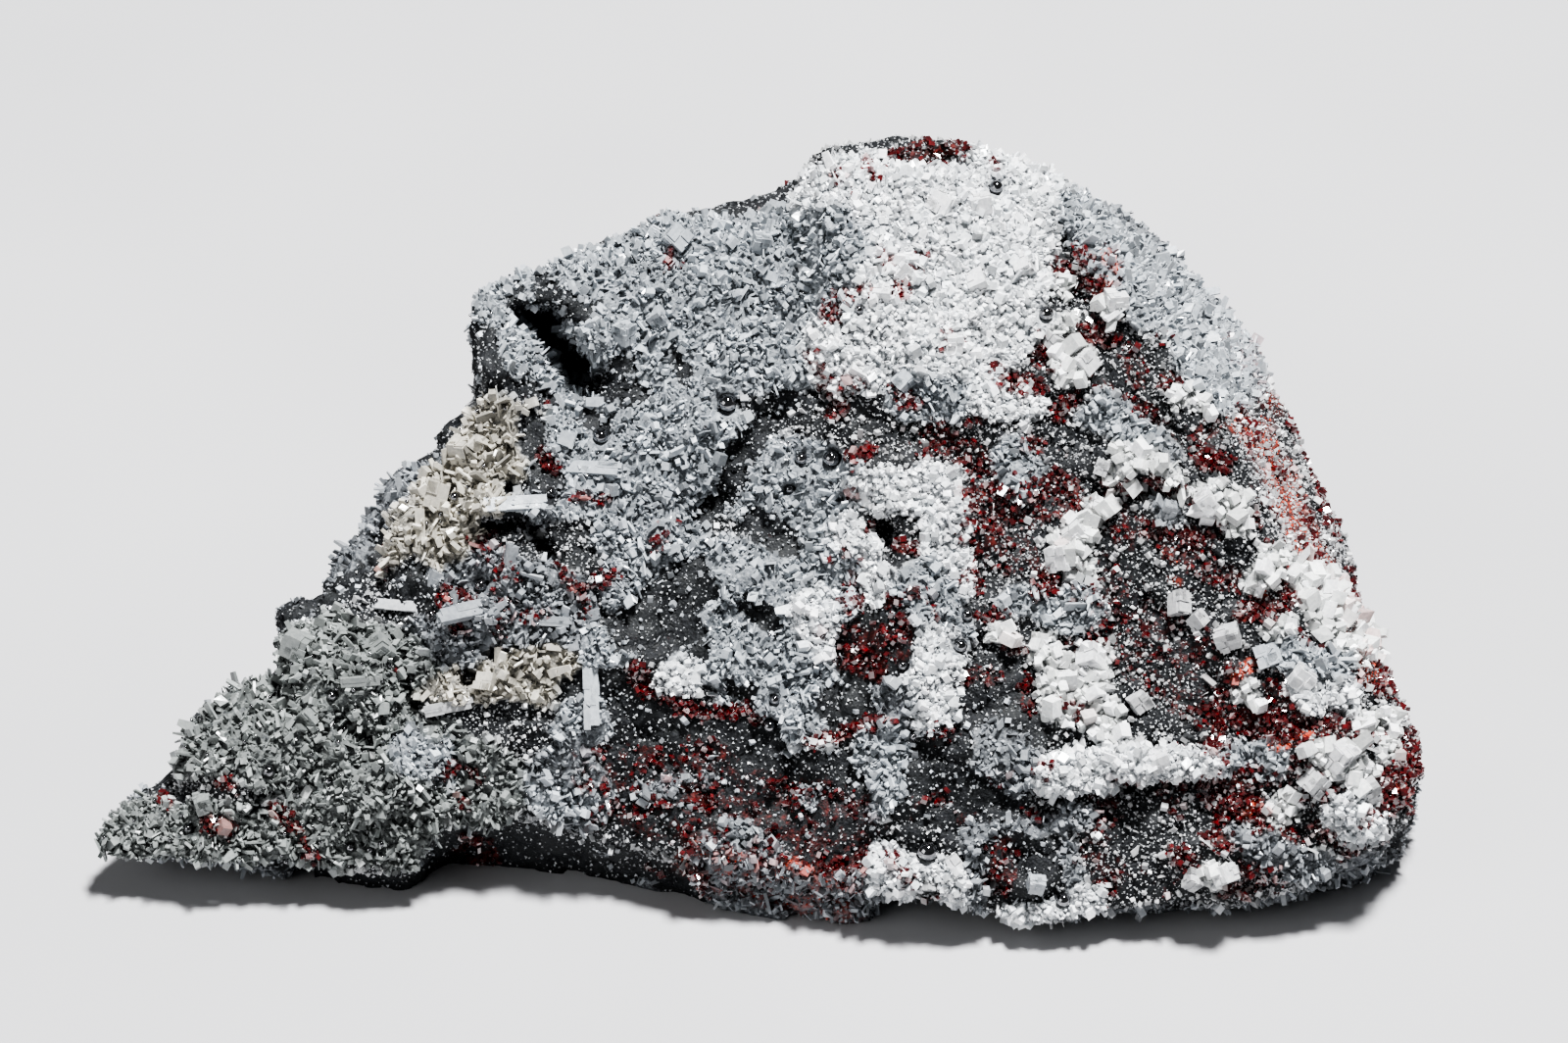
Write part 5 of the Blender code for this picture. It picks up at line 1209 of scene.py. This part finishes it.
# %% Crystals from edge vectors
BOX_SIGNS = np.array([(x, y, z) for x in (-1, 1) for y in (-1, 1) for z in (-1, 1)]) * 0.5
BOX_FACES = np.array([(0, 1, 3, 2), (4, 6, 7, 5), (0, 4, 5, 1), (2, 3, 7, 6), (0, 2, 6, 4), (1, 5, 7, 3)])
RHOMB_OUT, RHOMB_UP = 0.80, 0.60
THIRD_TURNS = np.array([0.0, 2.0, 4.0]) * math.pi / 3.0


def standing_frames(normals, lean, chance):
    """Three axes for each crystal. The first stands along the normal, tipped by the lean in a random
    direction; the other two are square to it and turned at random."""
    wild = unit(chance.normal(size=normals.shape))
    axis = unit(normals + lean[:, None] * (wild - (wild * normals).sum(-1, keepdims=True) * normals))
    side = unit(np.cross(axis, unit(chance.normal(size=normals.shape))))
    return axis, side, np.cross(axis, side)


def rhomb_edges(axis, side, other, size, stretch):
    """Three edges round the axis: each reaches out by RHOMB_OUT and up by RHOMB_UP, times the size and
    its own stretch."""
    cosines, sines = np.cos(THIRD_TURNS)[None, :, None], np.sin(THIRD_TURNS)[None, :, None]
    out = side[:, None] * cosines + other[:, None] * sines
    edges = unit(RHOMB_OUT * out + RHOMB_UP * axis[:, None])
    return edges * size[:, None, None] * stretch[:, :, None]


def blade_edges(axis, side, other, size, stretch):
    """Three square edges: long, wide and thin, as shares of the size given by the stretch."""
    return np.stack([axis, side, other], axis=1) * size[:, None, None] * stretch[:, :, None]


def boxes(middles, edges, taper, axis):
    """Corners and faces of leaning boxes. A corner is the middle plus or minus half of each edge. The
    taper draws it towards the axis, by nothing at the foot and by the whole taper at the top."""
    flip = np.where(np.linalg.det(edges) < 0.0, -1.0, 1.0)
    edges = edges.copy()
    edges[:, 2] *= flip[:, None]
    reach = np.einsum("ck,nkd->ncd", BOX_SIGNS, edges)
    height = np.einsum("ncd,nd->nc", reach, axis)
    top = np.maximum(height.max(axis=1, keepdims=True), 1e-9)
    drawn = taper[:, None] * np.clip(0.5 + 0.5 * height / top, 0.0, 1.0)
    aside = reach - height[..., None] * axis[:, None]
    corners = middles[:, None] + reach - drawn[..., None] * aside
    faces = (np.arange(len(middles)) * 8)[:, None, None] + BOX_FACES[None]
    return corners.reshape(-1, 3), [faces.reshape(-1, 4)]


print("a rhomb's edge leans", round(math.degrees(math.atan2(RHOMB_UP, RHOMB_OUT))), "degrees up")

# %% [markdown]
# ## The crust
# Seen close by, the crust is a mass of crystals under a millimetre long that catch the light one by
# one. It is modelled crystal by crystal, because no bump pattern gives such glints and tiny shadows.
# Bright white parts are mostly blunt rhombs. The blue-grey parts are mostly shredded blades that stand
# on edge. Each crystal has a tint of its own: its zone's colour, lighter or darker by chance, and
# stained red beside the cinnabar.

# %% The material of the crystals
SPAR_CLOUD, UNTINTED = (0.80, 0.81, 0.83), (1.0, 1.0, 1.0)


def crystal_material(name, clearness, roughness):
    """Pale carbonate: the tint that each crystal carries, times a cloud of fine noise."""
    spar = Finish(name)
    cloud = spar.mix(spar.ramp(spar.noise(0.30, 2.0), 0.35, 0.65), SPAR_CLOUD, UNTINTED)
    colour = spar.mix(1.0, spar.read("tint", "Color"), cloud, "MULTIPLY")
    spar.bump(spar.noise(0.12, 2.0), strength=0.25, depth_mm=0.03)
    gloss = spar.ramp(spar.noise(0.9, 1.0), 0.35, 0.65, roughness * 0.7, roughness * 1.4)
    return spar.set(Base_Color=colour, Roughness=gloss, IOR=1.62, Transmission_Weight=clearness)


CRUST = crystal_material("white_spar", clearness=0.0, roughness=0.30)
print("crystal material:", CRUST.name)

# %% [markdown]
# All crystals of a piece are worked out in one go. Beads keep their room: a crystal that comes in front
# of a bead, or into its pit, is left out. The crust is four pieces, to keep each mesh at a handy size.

# %% Growing the crust
BLUSH = (0.50, 0.12, 0.09)  # the colour of a carbonate crystal that is soaked in cinnabar
BRIGHTEST = 0.93
TINT_SPREAD = 0.28
SIZE_SPREAD = 0.42  # of the logarithm of a crystal's size
RHOMB_SIZE = 0.78  # edge of a rhomb, over the size of the crystal
BLADE_LEAST, BLADE_MOST = (1.1, 0.5, 0.16), (2.0, 1.0, 0.34)  # length, width, thickness over the size


def clear_of_beads(middles, sizes):
    """True for crystals that leave every bead in sight. Around the line of sight, no crystal may stand
    in a cylinder of the bead's radius, nor, in front of its middle, in one a quarter wider."""
    free = np.ones(len(middles), bool)
    for centre, radius in droplets.values():
        _, along, aside = beside_sight(middles, centre)
        beside = (aside > radius + 0.55 * sizes) | (along > radius + sizes)
        outside = (aside > 1.25 * radius + 0.75 * sizes) | (along > 0.0) | (along < -PIT_REACH * radius)
        free &= beside & outside
    return free


def tinted(places, chance):
    """Each crystal's tint: the zone's colour, times a random brightness, mixed with red by chance."""
    colour = at(places, crystal_colour)
    bright = np.clip(chance.normal(1.0, TINT_SPREAD, len(colour)), 0.40, 1.60)
    redness = at(places, red) * 0.8 + at(places, powder)
    blush = np.clip(redness - chance.uniform(0.0, 1.6, len(colour)), 0.0, 0.8)
    colour = colour * bright[:, None]
    return np.clip(colour + (np.array(BLUSH) - colour) * blush[:, None], 0.0, BRIGHTEST)


def grow_crust(name, region, most, seed):
    """Crystals over one region of the grid: a density of cover / grain^2, rhombs and blades by zone."""
    chance = np.random.default_rng(seed)
    places = scatter(region * CRUST_CROWDING * cover_with_gaps / grain**2, most, chance)
    count = len(places[0])
    size = at(places, grain) * np.clip(np.exp(chance.normal(0.0, SIZE_SPREAD, count)), 0.45, 2.6)
    normal = unit(at(places, outward))
    bladed = chance.uniform(0.0, 1.0, count) < at(places, blade_share)
    lean = np.where(bladed, chance.uniform(0.2, 1.6, count), chance.uniform(0.0, 1.1, count))
    axis, side, other = standing_frames(normal, lean, chance)
    even = chance.uniform(0.75, 1.25, (count, 3))
    blades = chance.uniform(BLADE_LEAST, BLADE_MOST, (count, 3))
    edges = np.where(
        bladed[:, None, None],
        blade_edges(axis, side, other, size, blades),
        rhomb_edges(axis, side, other, RHOMB_SIZE * size, even),
    )
    middle = at(places, skin) + normal * (size * chance.uniform(0.0, 0.55, count))[:, None]
    keep = clear_of_beads(middle, size) & (middle[:, 2] > size)
    taper = chance.uniform(0.0, 0.55, count)
    tint = tinted(places, chance)
    points, faces = boxes(middle[keep], edges[keep], taper[keep], axis[keep])
    piece = new_piece(name, points, faces, CRUST, colours={"tint": np.repeat(tint[keep], 8, axis=0)})
    return placed(piece, "white_crystals")


CRUST_CROWDING = 2.1  # crystals in the space of one, so that they stand among each other
# 0 where the crust is white, 1 where it is blue-grey, which is more ragged and has more blades
pale_share = np.clip((0.74 - crystal_colour[..., 0]) / 0.20, 0.0, 1.0)
unevenness = lattice_noise(skin, 1.3, 81) + 0.6 * lattice_noise(skin, 0.6, 82)
gaps = smooth_step((unevenness + 0.95 - 0.55 * pale_share) / 0.7)
cover_with_gaps = cover * (0.25 + 0.75 * gaps)
blade_share = 0.15 + 0.6 * pale_share * cover
facing = (back_share < 0.5).astype(float)
LEFT_ENDS, RIGHT_STARTS = -8.0, 16.0  # u, in millimetres
left = facing * (u < LEFT_ENDS)
middle_part = facing * (u >= LEFT_ENDS) * (u < RIGHT_STARTS)
right = facing * (u >= RIGHT_STARTS)
for region_name, region, most, seed in (  # no more crystals than `most`
    ("crust_left", left, 15500, 101),
    ("crust_middle", middle_part, 16000, 102),
    ("crust_right", right, 14000, 103),
    ("crust_behind", 1.0 - facing, 8000, 104),
):
    grow_crust(region_name, region, most, seed)

# %% [markdown]
# ## White specks
# Dark rock on this specimen is never plain: tiny white grains are strewn all over it, thick as salt on
# the right. Balls would cost too many triangles. Each speck is a tetrahedron, the simplest closed shape
# there is, a tenth to a third of a millimetre across.

# %% Strewing specks
TETRA = unit(np.array([(1.0, 1.0, 1.0), (1.0, -1.0, -1.0), (-1.0, 1.0, -1.0), (-1.0, -1.0, 1.0)]))
TETRA_FACES = np.array([(0, 1, 2), (0, 3, 1), (0, 2, 3), (1, 3, 2)])


def tetrahedra(middles, radius, chance):
    """Corners and faces of tetrahedra, each turned at random: a corner is the middle plus the radius
    times a stretch of its own times a corner of the plain tetrahedron."""
    any_way = unit(chance.normal(size=middles.shape))
    axis, side, other = standing_frames(any_way, np.zeros(len(middles)), chance)
    turned = np.einsum("ck,nkd->ncd", TETRA, np.stack([axis, side, other], axis=1))
    stretch = chance.uniform(0.7, 1.3, (len(middles), 4, 1))
    corners = middles[:, None] + turned * stretch * radius[:, None, None]
    faces = (np.arange(len(middles)) * 4)[:, None, None] + TETRA_FACES[None]
    return corners.reshape(-1, 3), [faces.reshape(-1, 3)]


def strew_specks(name, density, most, sizes, tint, material, slot, seed):
    """Specks of one colour over the grid."""
    chance = np.random.default_rng(seed)
    places = scatter(density, most, chance)
    count = len(places[0])
    radius = chance.uniform(*sizes, count)
    middle = at(places, skin) + unit(at(places, outward)) * (0.3 * radius)[:, None]
    keep = clear_of_beads(middle, radius) & (middle[:, 2] > radius)
    points, faces = tetrahedra(middle[keep], radius[keep], chance)
    shade = np.clip(np.array(tint) * chance.uniform(0.6, 1.1, keep.sum())[:, None], 0.0, 0.92)
    piece = new_piece(name, points, faces, material, colours={"tint": np.repeat(shade, 4, axis=0)})
    return placed(piece, slot)


clumped = smooth_step((lattice_noise(skin, 2.2, 83) + 0.9) / 1.2)
bare = np.clip(1.0 - 1.1 * cover, 0.0, 1.0) * (0.35 + 0.65 * clumped)
SPECK_SIZES = (0.07, 0.17)
SPECK_TINT = (0.55, 0.56, 0.57)
MOST_SPECKS = 30000
strew_specks(
    "white_specks", specks * bare, MOST_SPECKS, SPECK_SIZES, SPECK_TINT, CRUST, "white_crystals", seed=111
)

# %% [markdown]
# ## The larger crystals
# About sixty crystals are big enough to be met one by one, and the solid has them too. On the real
# thing a big rhomb is hardly ever a plain box: it is built of smaller ones, all turned the same way,
# which leave steps on its faces. They could be cut in one by one, but small copies, turned like the
# crystal and sunk into its faces, give such steps by themselves.

# %% Stepped crystals
LONE_CRYSTALS = (
    (9.1, 10.9, 1.5, "rhomb"), (25.1, 16.7, 1.7, "rhomb"), (22.7, 11.7, 1.8, "rhomb"),
    (20.6, 13.6, 1.4, "rhomb"), (23.8, 1.2, 1.3, "rhomb"), (22.3, -1.0, 1.9, "rhomb"),
    (21.0, -2.6, 1.9, "rhomb"), (22.0, -4.0, 1.5, "rhomb"), (29.4, 0.7, 1.4, "rhomb"),
    (32.7, 1.6, 1.7, "rhomb"), (24.4, 4.2, 1.4, "rhomb"), (30.1, -6.2, 1.7, "rhomb"),
    (31.6, -7.6, 1.5, "rhomb"), (33.8, -8.8, 2.0, "rhomb"), (26.8, -13.6, 1.5, "rhomb"),
    (28.9, -18.0, 1.6, "rhomb"), (23.2, -10.4, 1.8, "rhomb"), (21.2, -11.8, 1.7, "rhomb"),
    (24.6, -12.6, 1.4, "rhomb"), (36.8, -9.8, 2.0, "rhomb"), (39.2, -12.0, 2.1, "rhomb"),
    (42.0, -17.6, 2.2, "rhomb"), (40.2, -19.8, 1.8, "rhomb"), (44.2, -20.6, 1.8, "rhomb"),
    (33.4, -26.6, 1.8, "rhomb"), (31.0, -27.2, 1.5, "rhomb"), (19.4, -27.6, 1.5, "rhomb"),
    (12.8, -26.4, 1.5, "rhomb"), (11.0, -27.4, 1.4, "rhomb"), (14.6, 24.0, 1.6, "rhomb"),
    (12.0, 23.8, 1.8, "rhomb"), (9.0, 19.0, 1.6, "rhomb"), (7.4, 17.2, 1.5, "rhomb"),
    (14.6, 18.2, 1.7, "rhomb"), (18.2, 19.6, 1.5, "rhomb"), (5.2, 11.6, 1.5, "rhomb"),
    (12.6, 13.4, 1.6, "rhomb"), (-11.9, 14.4, 1.7, "rhomb"), (-9.6, 15.4, 1.6, "rhomb"),
    (-16.4, 6.6, 1.3, "rhomb"), (-10.2, 7.6, 1.3, "rhomb"), (-36.9, -9.8, 2.4, "rhomb"),
    (-30.6, -9.8, 1.9, "rhomb"), (-26.0, -4.6, 1.8, "rhomb"), (-27.0, 2.8, 2.0, "rhomb"),
    (-24.6, 5.8, 2.0, "rhomb"), (-8.0, 21.6, 2.0, "rhomb"), (-1.6, 21.0, 1.6, "rhomb"),
    (-43.6, -21.2, 1.6, "rhomb"), (-35.8, -14.8, 1.8, "rhomb"), (-22.0, -12.0, 1.7, "rhomb"),
    (-23.6, -6.9, 4.8, "blade"), (-29.2, -6.4, 3.2, "blade"), (-20.8, -3.4, 3.6, "upright"),
    (-20.2, 1.2, 4.2, "blade"), (-14.6, -13.4, 4.6, "upright"), (-14.6, 3.6, 4.0, "blade"),
    (-32.2, -12.0, 3.0, "blade"), (-25.4, -14.0, 3.4, "blade"), (-38.0, -21.0, 2.8, "blade"),
    (-17.8, -7.6, 3.0, "blade"), (-27.4, -0.4, 3.0, "upright"), (-30.4, -17.6, 2.6, "upright"),
)
STEPS_ON_A_CRYSTAL = 9
LONE_RHOMB_SIZE = 0.82  # edge of a rhomb, over the size in the table
LONE_BRIGHTER, LONE_BRIGHTEST = 1.25, 0.88  # their tint, over the crust's, and its limit
LONG_BLADE = (1.0, 0.24, 0.14)  # length, width and thickness, as shares of the length
RHOMB_ROOT, BLADE_ROOT = 0.12, 0.06  # how far the middle stands above the rock, over the size


def spots_on_face(table):
    """The grid point nearest to each place of a table, as row and column."""
    near_u, near_v = u[:, :FACE_STEPS], v[:, :FACE_STEPS]
    found = [np.argmin((near_u - row[0]) ** 2 + (near_v - row[1]) ** 2) for row in table]
    return np.unravel_index(np.array(found), near_u.shape)


def stepped(middles, edges, axis, chance):
    """Each crystal's body, and smaller copies with the same edges, whose middles lie near its faces."""
    count = len(middles)
    share = chance.uniform(0.28, 0.62, (count, STEPS_ON_A_CRYSTAL))
    place = chance.uniform(-0.5, 0.5, (count, STEPS_ON_A_CRYSTAL, 3))
    pushed = chance.integers(0, 3, (count, STEPS_ON_A_CRYSTAL))
    sign = np.where(chance.uniform(size=pushed.shape) < 0.75, 1.0, -1.0)
    reach = 0.5 - 0.5 * share[..., None] + 0.07
    place = np.clip(place, -reach, reach)
    np.put_along_axis(place, pushed[..., None], (sign * reach[..., 0])[..., None], axis=-1)
    small = middles[:, None] + np.einsum("nsk,nkd->nsd", place, edges)
    small_edges = edges[:, None] * share[..., None, None]
    all_middles = np.concatenate([middles, small.reshape(-1, 3)])
    all_edges = np.concatenate([edges, small_edges.reshape(-1, 3, 3)])
    all_axes = np.concatenate([axis, np.repeat(axis, STEPS_ON_A_CRYSTAL, axis=0)])
    return boxes(all_middles, all_edges, np.zeros(len(all_middles)), all_axes)


chance = np.random.default_rng(121)
rows_found, columns_found = spots_on_face(LONE_CRYSTALS)
spot, spot_normal = skin[rows_found, columns_found], unit(outward[rows_found, columns_found])
size = np.array([row[2] for row in LONE_CRYSTALS])
kind = np.array([row[3] for row in LONE_CRYSTALS])
axis, side, other = standing_frames(spot_normal, chance.uniform(0.0, 0.5, len(size)), chance)
up_face = np.array([0.0, math.sin(FACE_SLOPE), math.cos(FACE_SLOPE)])
lie = np.where((kind == "upright")[:, None], up_face, np.array([1.0, 0.0, 0.0]))
lie = unit(lie + chance.normal(0.0, 0.18, lie.shape))
flat_side = unit(np.cross(spot_normal, lie))
rhombs = rhomb_edges(axis, side, other, LONE_RHOMB_SIZE * size, chance.uniform(0.85, 1.15, (len(size), 3)))
long_shape = np.tile(LONG_BLADE, (len(size), 1))
long_blades = blade_edges(lie, flat_side, np.cross(lie, flat_side), size, long_shape)
lone_edges = np.where((kind == "rhomb")[:, None, None], rhombs, long_blades)
lone_axis = np.where((kind == "rhomb")[:, None], axis, lie)
lone_middle = spot + spot_normal * (size * np.where(kind == "rhomb", RHOMB_ROOT, BLADE_ROOT))[:, None]
points, faces = stepped(lone_middle, lone_edges, lone_axis, chance)
lone_tint = np.clip(crystal_colour[rows_found, columns_found] * LONE_BRIGHTER, 0.0, LONE_BRIGHTEST)
lone_tint = np.concatenate([lone_tint, np.repeat(lone_tint, STEPS_ON_A_CRYSTAL, axis=0)])
lone_tint = lone_tint * chance.uniform(0.92, 1.06, (len(lone_tint), 1))
SPAR = crystal_material("clear_spar", clearness=0.20, roughness=0.18)
lone = new_piece("large_crystals", points, faces, SPAR, colours={"tint": np.repeat(lone_tint, 8, axis=0)})
placed(lone, "white_crystals")

# %% [markdown]
# ## Cinnabar
# Cinnabar is mercury sulphide, deep red and brilliant, with a refractive index near 3, far above glass.
# Its crystals are small and crowd into hollows. They are made like the carbonate ones, in a finish
# that is dark inside and flashes where a face mirrors the light. Its index is set to 2.6, so that the
# mirrored sky doesn't wash the red out.

# %% Cinnabar crystals and powder
CINNABAR_DARK, CINNABAR_LIGHT = (0.035, 0.002, 0.003), (0.115, 0.007, 0.008)
POWDER_DARK, POWDER_LIGHT = (0.42, 0.05, 0.03), (0.70, 0.14, 0.08)
CINNABAR_CROWDING, POWDER_CROWDING = 26.0, 22.0  # on a square millimetre, at full strength
DUST_SIZES = (0.05, 0.14)
MOST_CINNABAR, MOST_DUST = 8000, 4000


def cinnabar_material():
    """Deep red with a brilliant gloss."""
    cinnabar = Finish("cinnabar_crystals")
    cloud = cinnabar.ramp(cinnabar.noise(0.4, 2.0), 0.35, 0.65)
    deep = cinnabar.mix(cloud, CINNABAR_DARK, CINNABAR_LIGHT)
    cinnabar.bump(cinnabar.noise(0.10, 1.0), strength=0.2, depth_mm=0.02)
    colour = cinnabar.mix(1.0, cinnabar.read("tint", "Color"), deep, "MULTIPLY")
    return cinnabar.set(Base_Color=colour, Roughness=0.16, IOR=2.6)


def powder_material():
    """Soft vermilion dust."""
    dust = Finish("vermilion_powder")
    colour = dust.mix(dust.ramp(dust.noise(0.2, 2.0), 0.3, 0.7), POWDER_DARK, POWDER_LIGHT)
    return dust.set(Base_Color=colour, Roughness=0.85, IOR=1.5)


def grow_cinnabar(density):
    """Small blunt crystals of cinnabar over the grid."""
    chance = np.random.default_rng(131)
    places = scatter(density, MOST_CINNABAR, chance)
    count = len(places[0])
    size = chance.uniform(0.16, 0.48, count)
    normal = unit(at(places, outward))
    axis, side, other = standing_frames(normal, chance.uniform(0.0, 1.4, count), chance)
    edges = rhomb_edges(axis, side, other, size, chance.uniform(0.7, 1.3, (count, 3)))
    middle = at(places, skin) + normal * (size * chance.uniform(0.1, 0.7, count))[:, None]
    keep = clear_of_beads(middle, size) & (middle[:, 2] > size)
    points, faces = boxes(middle[keep], edges[keep], chance.uniform(0.0, 0.5, count)[keep], axis[keep])
    tint = np.repeat(chance.uniform(0.5, 1.5, (keep.sum(), 1)) * np.ones(3), 8, axis=0)
    piece = new_piece("cinnabar", points, faces, cinnabar_material(), colours={"tint": tint})
    return placed(piece, "cinnabar")


ragged_red = np.clip(red + 0.35 * lattice_noise(skin, 0.9, 84) - 0.30, 0.0, 1.0)
grow_cinnabar(CINNABAR_CROWDING * ragged_red**1.3)
dusted = POWDER_CROWDING * np.clip(powder - 0.25, 0.0, 1.0)
strew_specks(
    "vermilion_dust", dusted, MOST_DUST, DUST_SIZES, UNTINTED, powder_material(), "cinnabar", seed=132
)

# %% [markdown]
# ## Mercury
# Each droplet is a ball that gravity flattens a little. A grid of latitude and longitude, shaded
# smooth, is enough: the look is all in the metal, which mirrors the room. Its colour is darker than
# real mercury's, because a pale floor and sky brighten what it mirrors. The beads that the solid has
# are replaced one for one. Hundreds more, too small for the solid, are joined in one mesh.

# %% Beads of mercury
METAL_LIGHT, METAL_DARK = (0.32, 0.32, 0.33), (0.20, 0.20, 0.21)
BEAD_SAG = 0.94  # height of a droplet, over its width
BEAD_RINGS, BEAD_AROUND = 20, 40


def mercury_material():
    """Liquid metal: a clean mirror, broken only by the faintest skin."""
    metal = Finish("liquid_mercury")
    colour = metal.mix(metal.ramp(metal.noise(0.5, 2.0), 0.4, 0.7), METAL_LIGHT, METAL_DARK)
    roughness = metal.ramp(metal.noise(0.3, 2.0), 0.35, 0.7, 0.02, 0.05)
    return metal.set(Base_Color=colour, Metallic=1.0, Roughness=roughness)


def ball(rings, around):
    """Points and faces of a ball of radius 1: latitude circles at even angles between two poles, each
    with a radius of sqrt(1 - height^2)."""
    height = np.cos(np.arange(1, rings + 1) * math.pi / (rings + 1))
    turn = np.arange(around) * 2.0 * math.pi / around
    radius = np.sqrt(1.0 - height**2)
    circles = np.stack(
        [
            radius[:, None] * np.cos(turn),
            radius[:, None] * np.sin(turn),
            np.broadcast_to(height[:, None], (rings, around)),
        ],
        axis=-1,
    )
    points = np.concatenate([circles.reshape(-1, 3), [(0.0, 0.0, 1.0), (0.0, 0.0, -1.0)]])
    number = np.arange(rings * around).reshape(rings, around)
    after = np.roll(number, -1, axis=1)
    quads = np.stack([number[:-1], number[1:], after[1:], after[:-1]], axis=-1).reshape(-1, 4)
    top = np.stack([number[0], after[0], np.full(around, rings * around)], axis=-1)
    bottom = np.stack([after[-1], number[-1], np.full(around, rings * around + 1)], axis=-1)
    return points, [quads, np.concatenate([top, bottom])]


MERCURY = mercury_material()
bead_points, bead_faces = ball(BEAD_RINGS, BEAD_AROUND)
for name, (centre, radius) in droplets.items():
    sagging = centre + bead_points * radius * (1.0, 1.0, BEAD_SAG)
    bead = new_piece(f"bead_{name[-2:]}", sagging, bead_faces, MERCURY, smooth=True)
    placed(bead, "mercury", name)

# %% [markdown]
# The smallest beads are 0.14 to 0.56 mm across. They gather in the tail and the left part, between the
# crystals of the crust, and a few lie in the middle and on the right. Only ten of them can be told
# apart, so only those have places of their own.

# %% Small beads
SMALL_BEADS = (  # u, v, radius: beads that can be told apart
    (10.0, -15.8, 0.28), (11.6, -15.8, 0.26), (-20.9, -5.9, 0.24), (-34.3, -19.6, 0.28),
    (-30.7, -5.9, 0.22), (-28.6, -14.5, 0.24), (-30.0, -20.7, 0.22), (-31.4, -24.6, 0.28),
    (-30.6, -24.1, 0.26), (-51.5, -24.0, 0.20),
)
SMALL_RINGS, SMALL_AROUND = 5, 8
TAIL_FROM, TAIL_OVER = -14.0, 16.0  # beads get denser to the left of this u, over this length
BEADS_ANYWHERE, BEADS_IN_TAIL = 0.08, 0.75  # beads on a square millimetre of crust
MOST_SMALL_BEADS = 620
LEAST_RADIUS, RADIUS_RANGE = 0.07, 0.12


def small_beads(middles, radius):
    """Many small balls, joined: each a shift and a scale of one ball of a few dozen faces."""
    points, (quads, tips) = ball(SMALL_RINGS, SMALL_AROUND)
    corners = middles[:, None] + points[None] * radius[:, None, None]
    shift = (np.arange(len(radius)) * len(points))[:, None, None]
    return corners.reshape(-1, 3), [(shift + quads).reshape(-1, 4), (shift + tips).reshape(-1, 3)]


chance = np.random.default_rng(141)
tail = smooth_step((TAIL_FROM - u) / TAIL_OVER) * facing
crusted = smooth_step((cover - 0.2) / 0.4)
places = scatter(facing * (BEADS_ANYWHERE + BEADS_IN_TAIL * tail) * crusted, MOST_SMALL_BEADS, chance)
radius = LEAST_RADIUS + RADIUS_RANGE * chance.uniform(0.0, 1.0, len(places[0])) ** 2
middle = at(places, skin) + unit(at(places, outward)) * (0.30 + 0.8 * radius)[:, None]
rows_found, columns_found = spots_on_face(SMALL_BEADS)
named_radius = np.array([row[2] for row in SMALL_BEADS])
named_normal = unit(outward[rows_found, columns_found])
named = skin[rows_found, columns_found] + named_normal * (0.6 * named_radius + 0.25)[:, None]
points, faces = small_beads(np.concatenate([middle, named]), np.concatenate([radius, named_radius]))
placed(new_piece("small_beads", points, faces, MERCURY, smooth=True), "mercury")

# %% [markdown]
# ## Floor and light
# The stone lies on a plain pale floor. The light is like the one it was seen in: one lamp almost
# straight above, small enough for each crystal to throw a crisp little shadow. A wide weak lamp on the
# left and a dim even sky keep the shadows from going black.

# %% Floor, lamps and sky
FLOOR_HALF = 3.0  # metres
FLOOR_DARK, FLOOR_LIGHT = (0.44, 0.44, 0.45), (0.48, 0.48, 0.49)
SKY = (0.105, 0.108, 0.112, 1.0)
floor_mesh = bpy.data.meshes.new("floor")
corners = [(x * FLOOR_HALF, y * FLOOR_HALF, 0.0) for x, y in ((-1, -1), (1, -1), (1, 1), (-1, 1))]
floor_mesh.from_pydata(corners, [], [(0, 1, 2, 3)])
paper = Finish("paper")
tone = paper.mix(paper.ramp(paper.noise(60.0, 2.0), 0.3, 0.7), FLOOR_DARK, FLOOR_LIGHT)
floor_mesh.materials.append(paper.set(Base_Color=tone, Roughness=0.8))
floor = bpy.data.objects.new("floor", floor_mesh)
bpy.context.scene.collection.objects.link(floor)
floor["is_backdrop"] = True


def lamp(name, direction, distance, width, watts):
    """A square lamp that shines at the block from a direction. Distance and width are metres."""
    data = bpy.data.lights.new(name, "AREA")
    data.size = width
    data.energy = watts
    made = bpy.data.objects.new(name, data)
    made.location = Vector(direction).normalized() * distance + aim * MM
    made.rotation_euler = (-Vector(direction)).to_track_quat("-Z", "Y").to_euler()
    bpy.context.scene.collection.objects.link(made)
    return made


lamp("lamp_above", direction=(0.15, 0.02, 0.96), distance=0.9, width=0.14, watts=21.0)
lamp("lamp_left", direction=(-0.8, -0.5, 0.5), distance=1.2, width=0.8, watts=4.0)
sky = bpy.data.worlds.new("sky")
sky.use_nodes = True
sky.node_tree.nodes["Background"].inputs["Color"].default_value = SKY
bpy.context.scene.world = sky
bpy.context.scene.view_settings.view_transform = "AgX"
bpy.context.scene.view_settings.look = "AgX - High Contrast"

# %% [markdown]
# ## Measuring
# The looks must not outgrow the solid. Both boxes are printed.

# %% Both boxes
sizes = {
    "packed": [list(corner) for corner in PACKED_BOX],
    "dressed": [list(corner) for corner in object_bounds()],
}
for name, (low, high) in sizes.items():
    print(name, [round(c / MM, 2) for c in low], [round(c / MM, 2) for c in high])
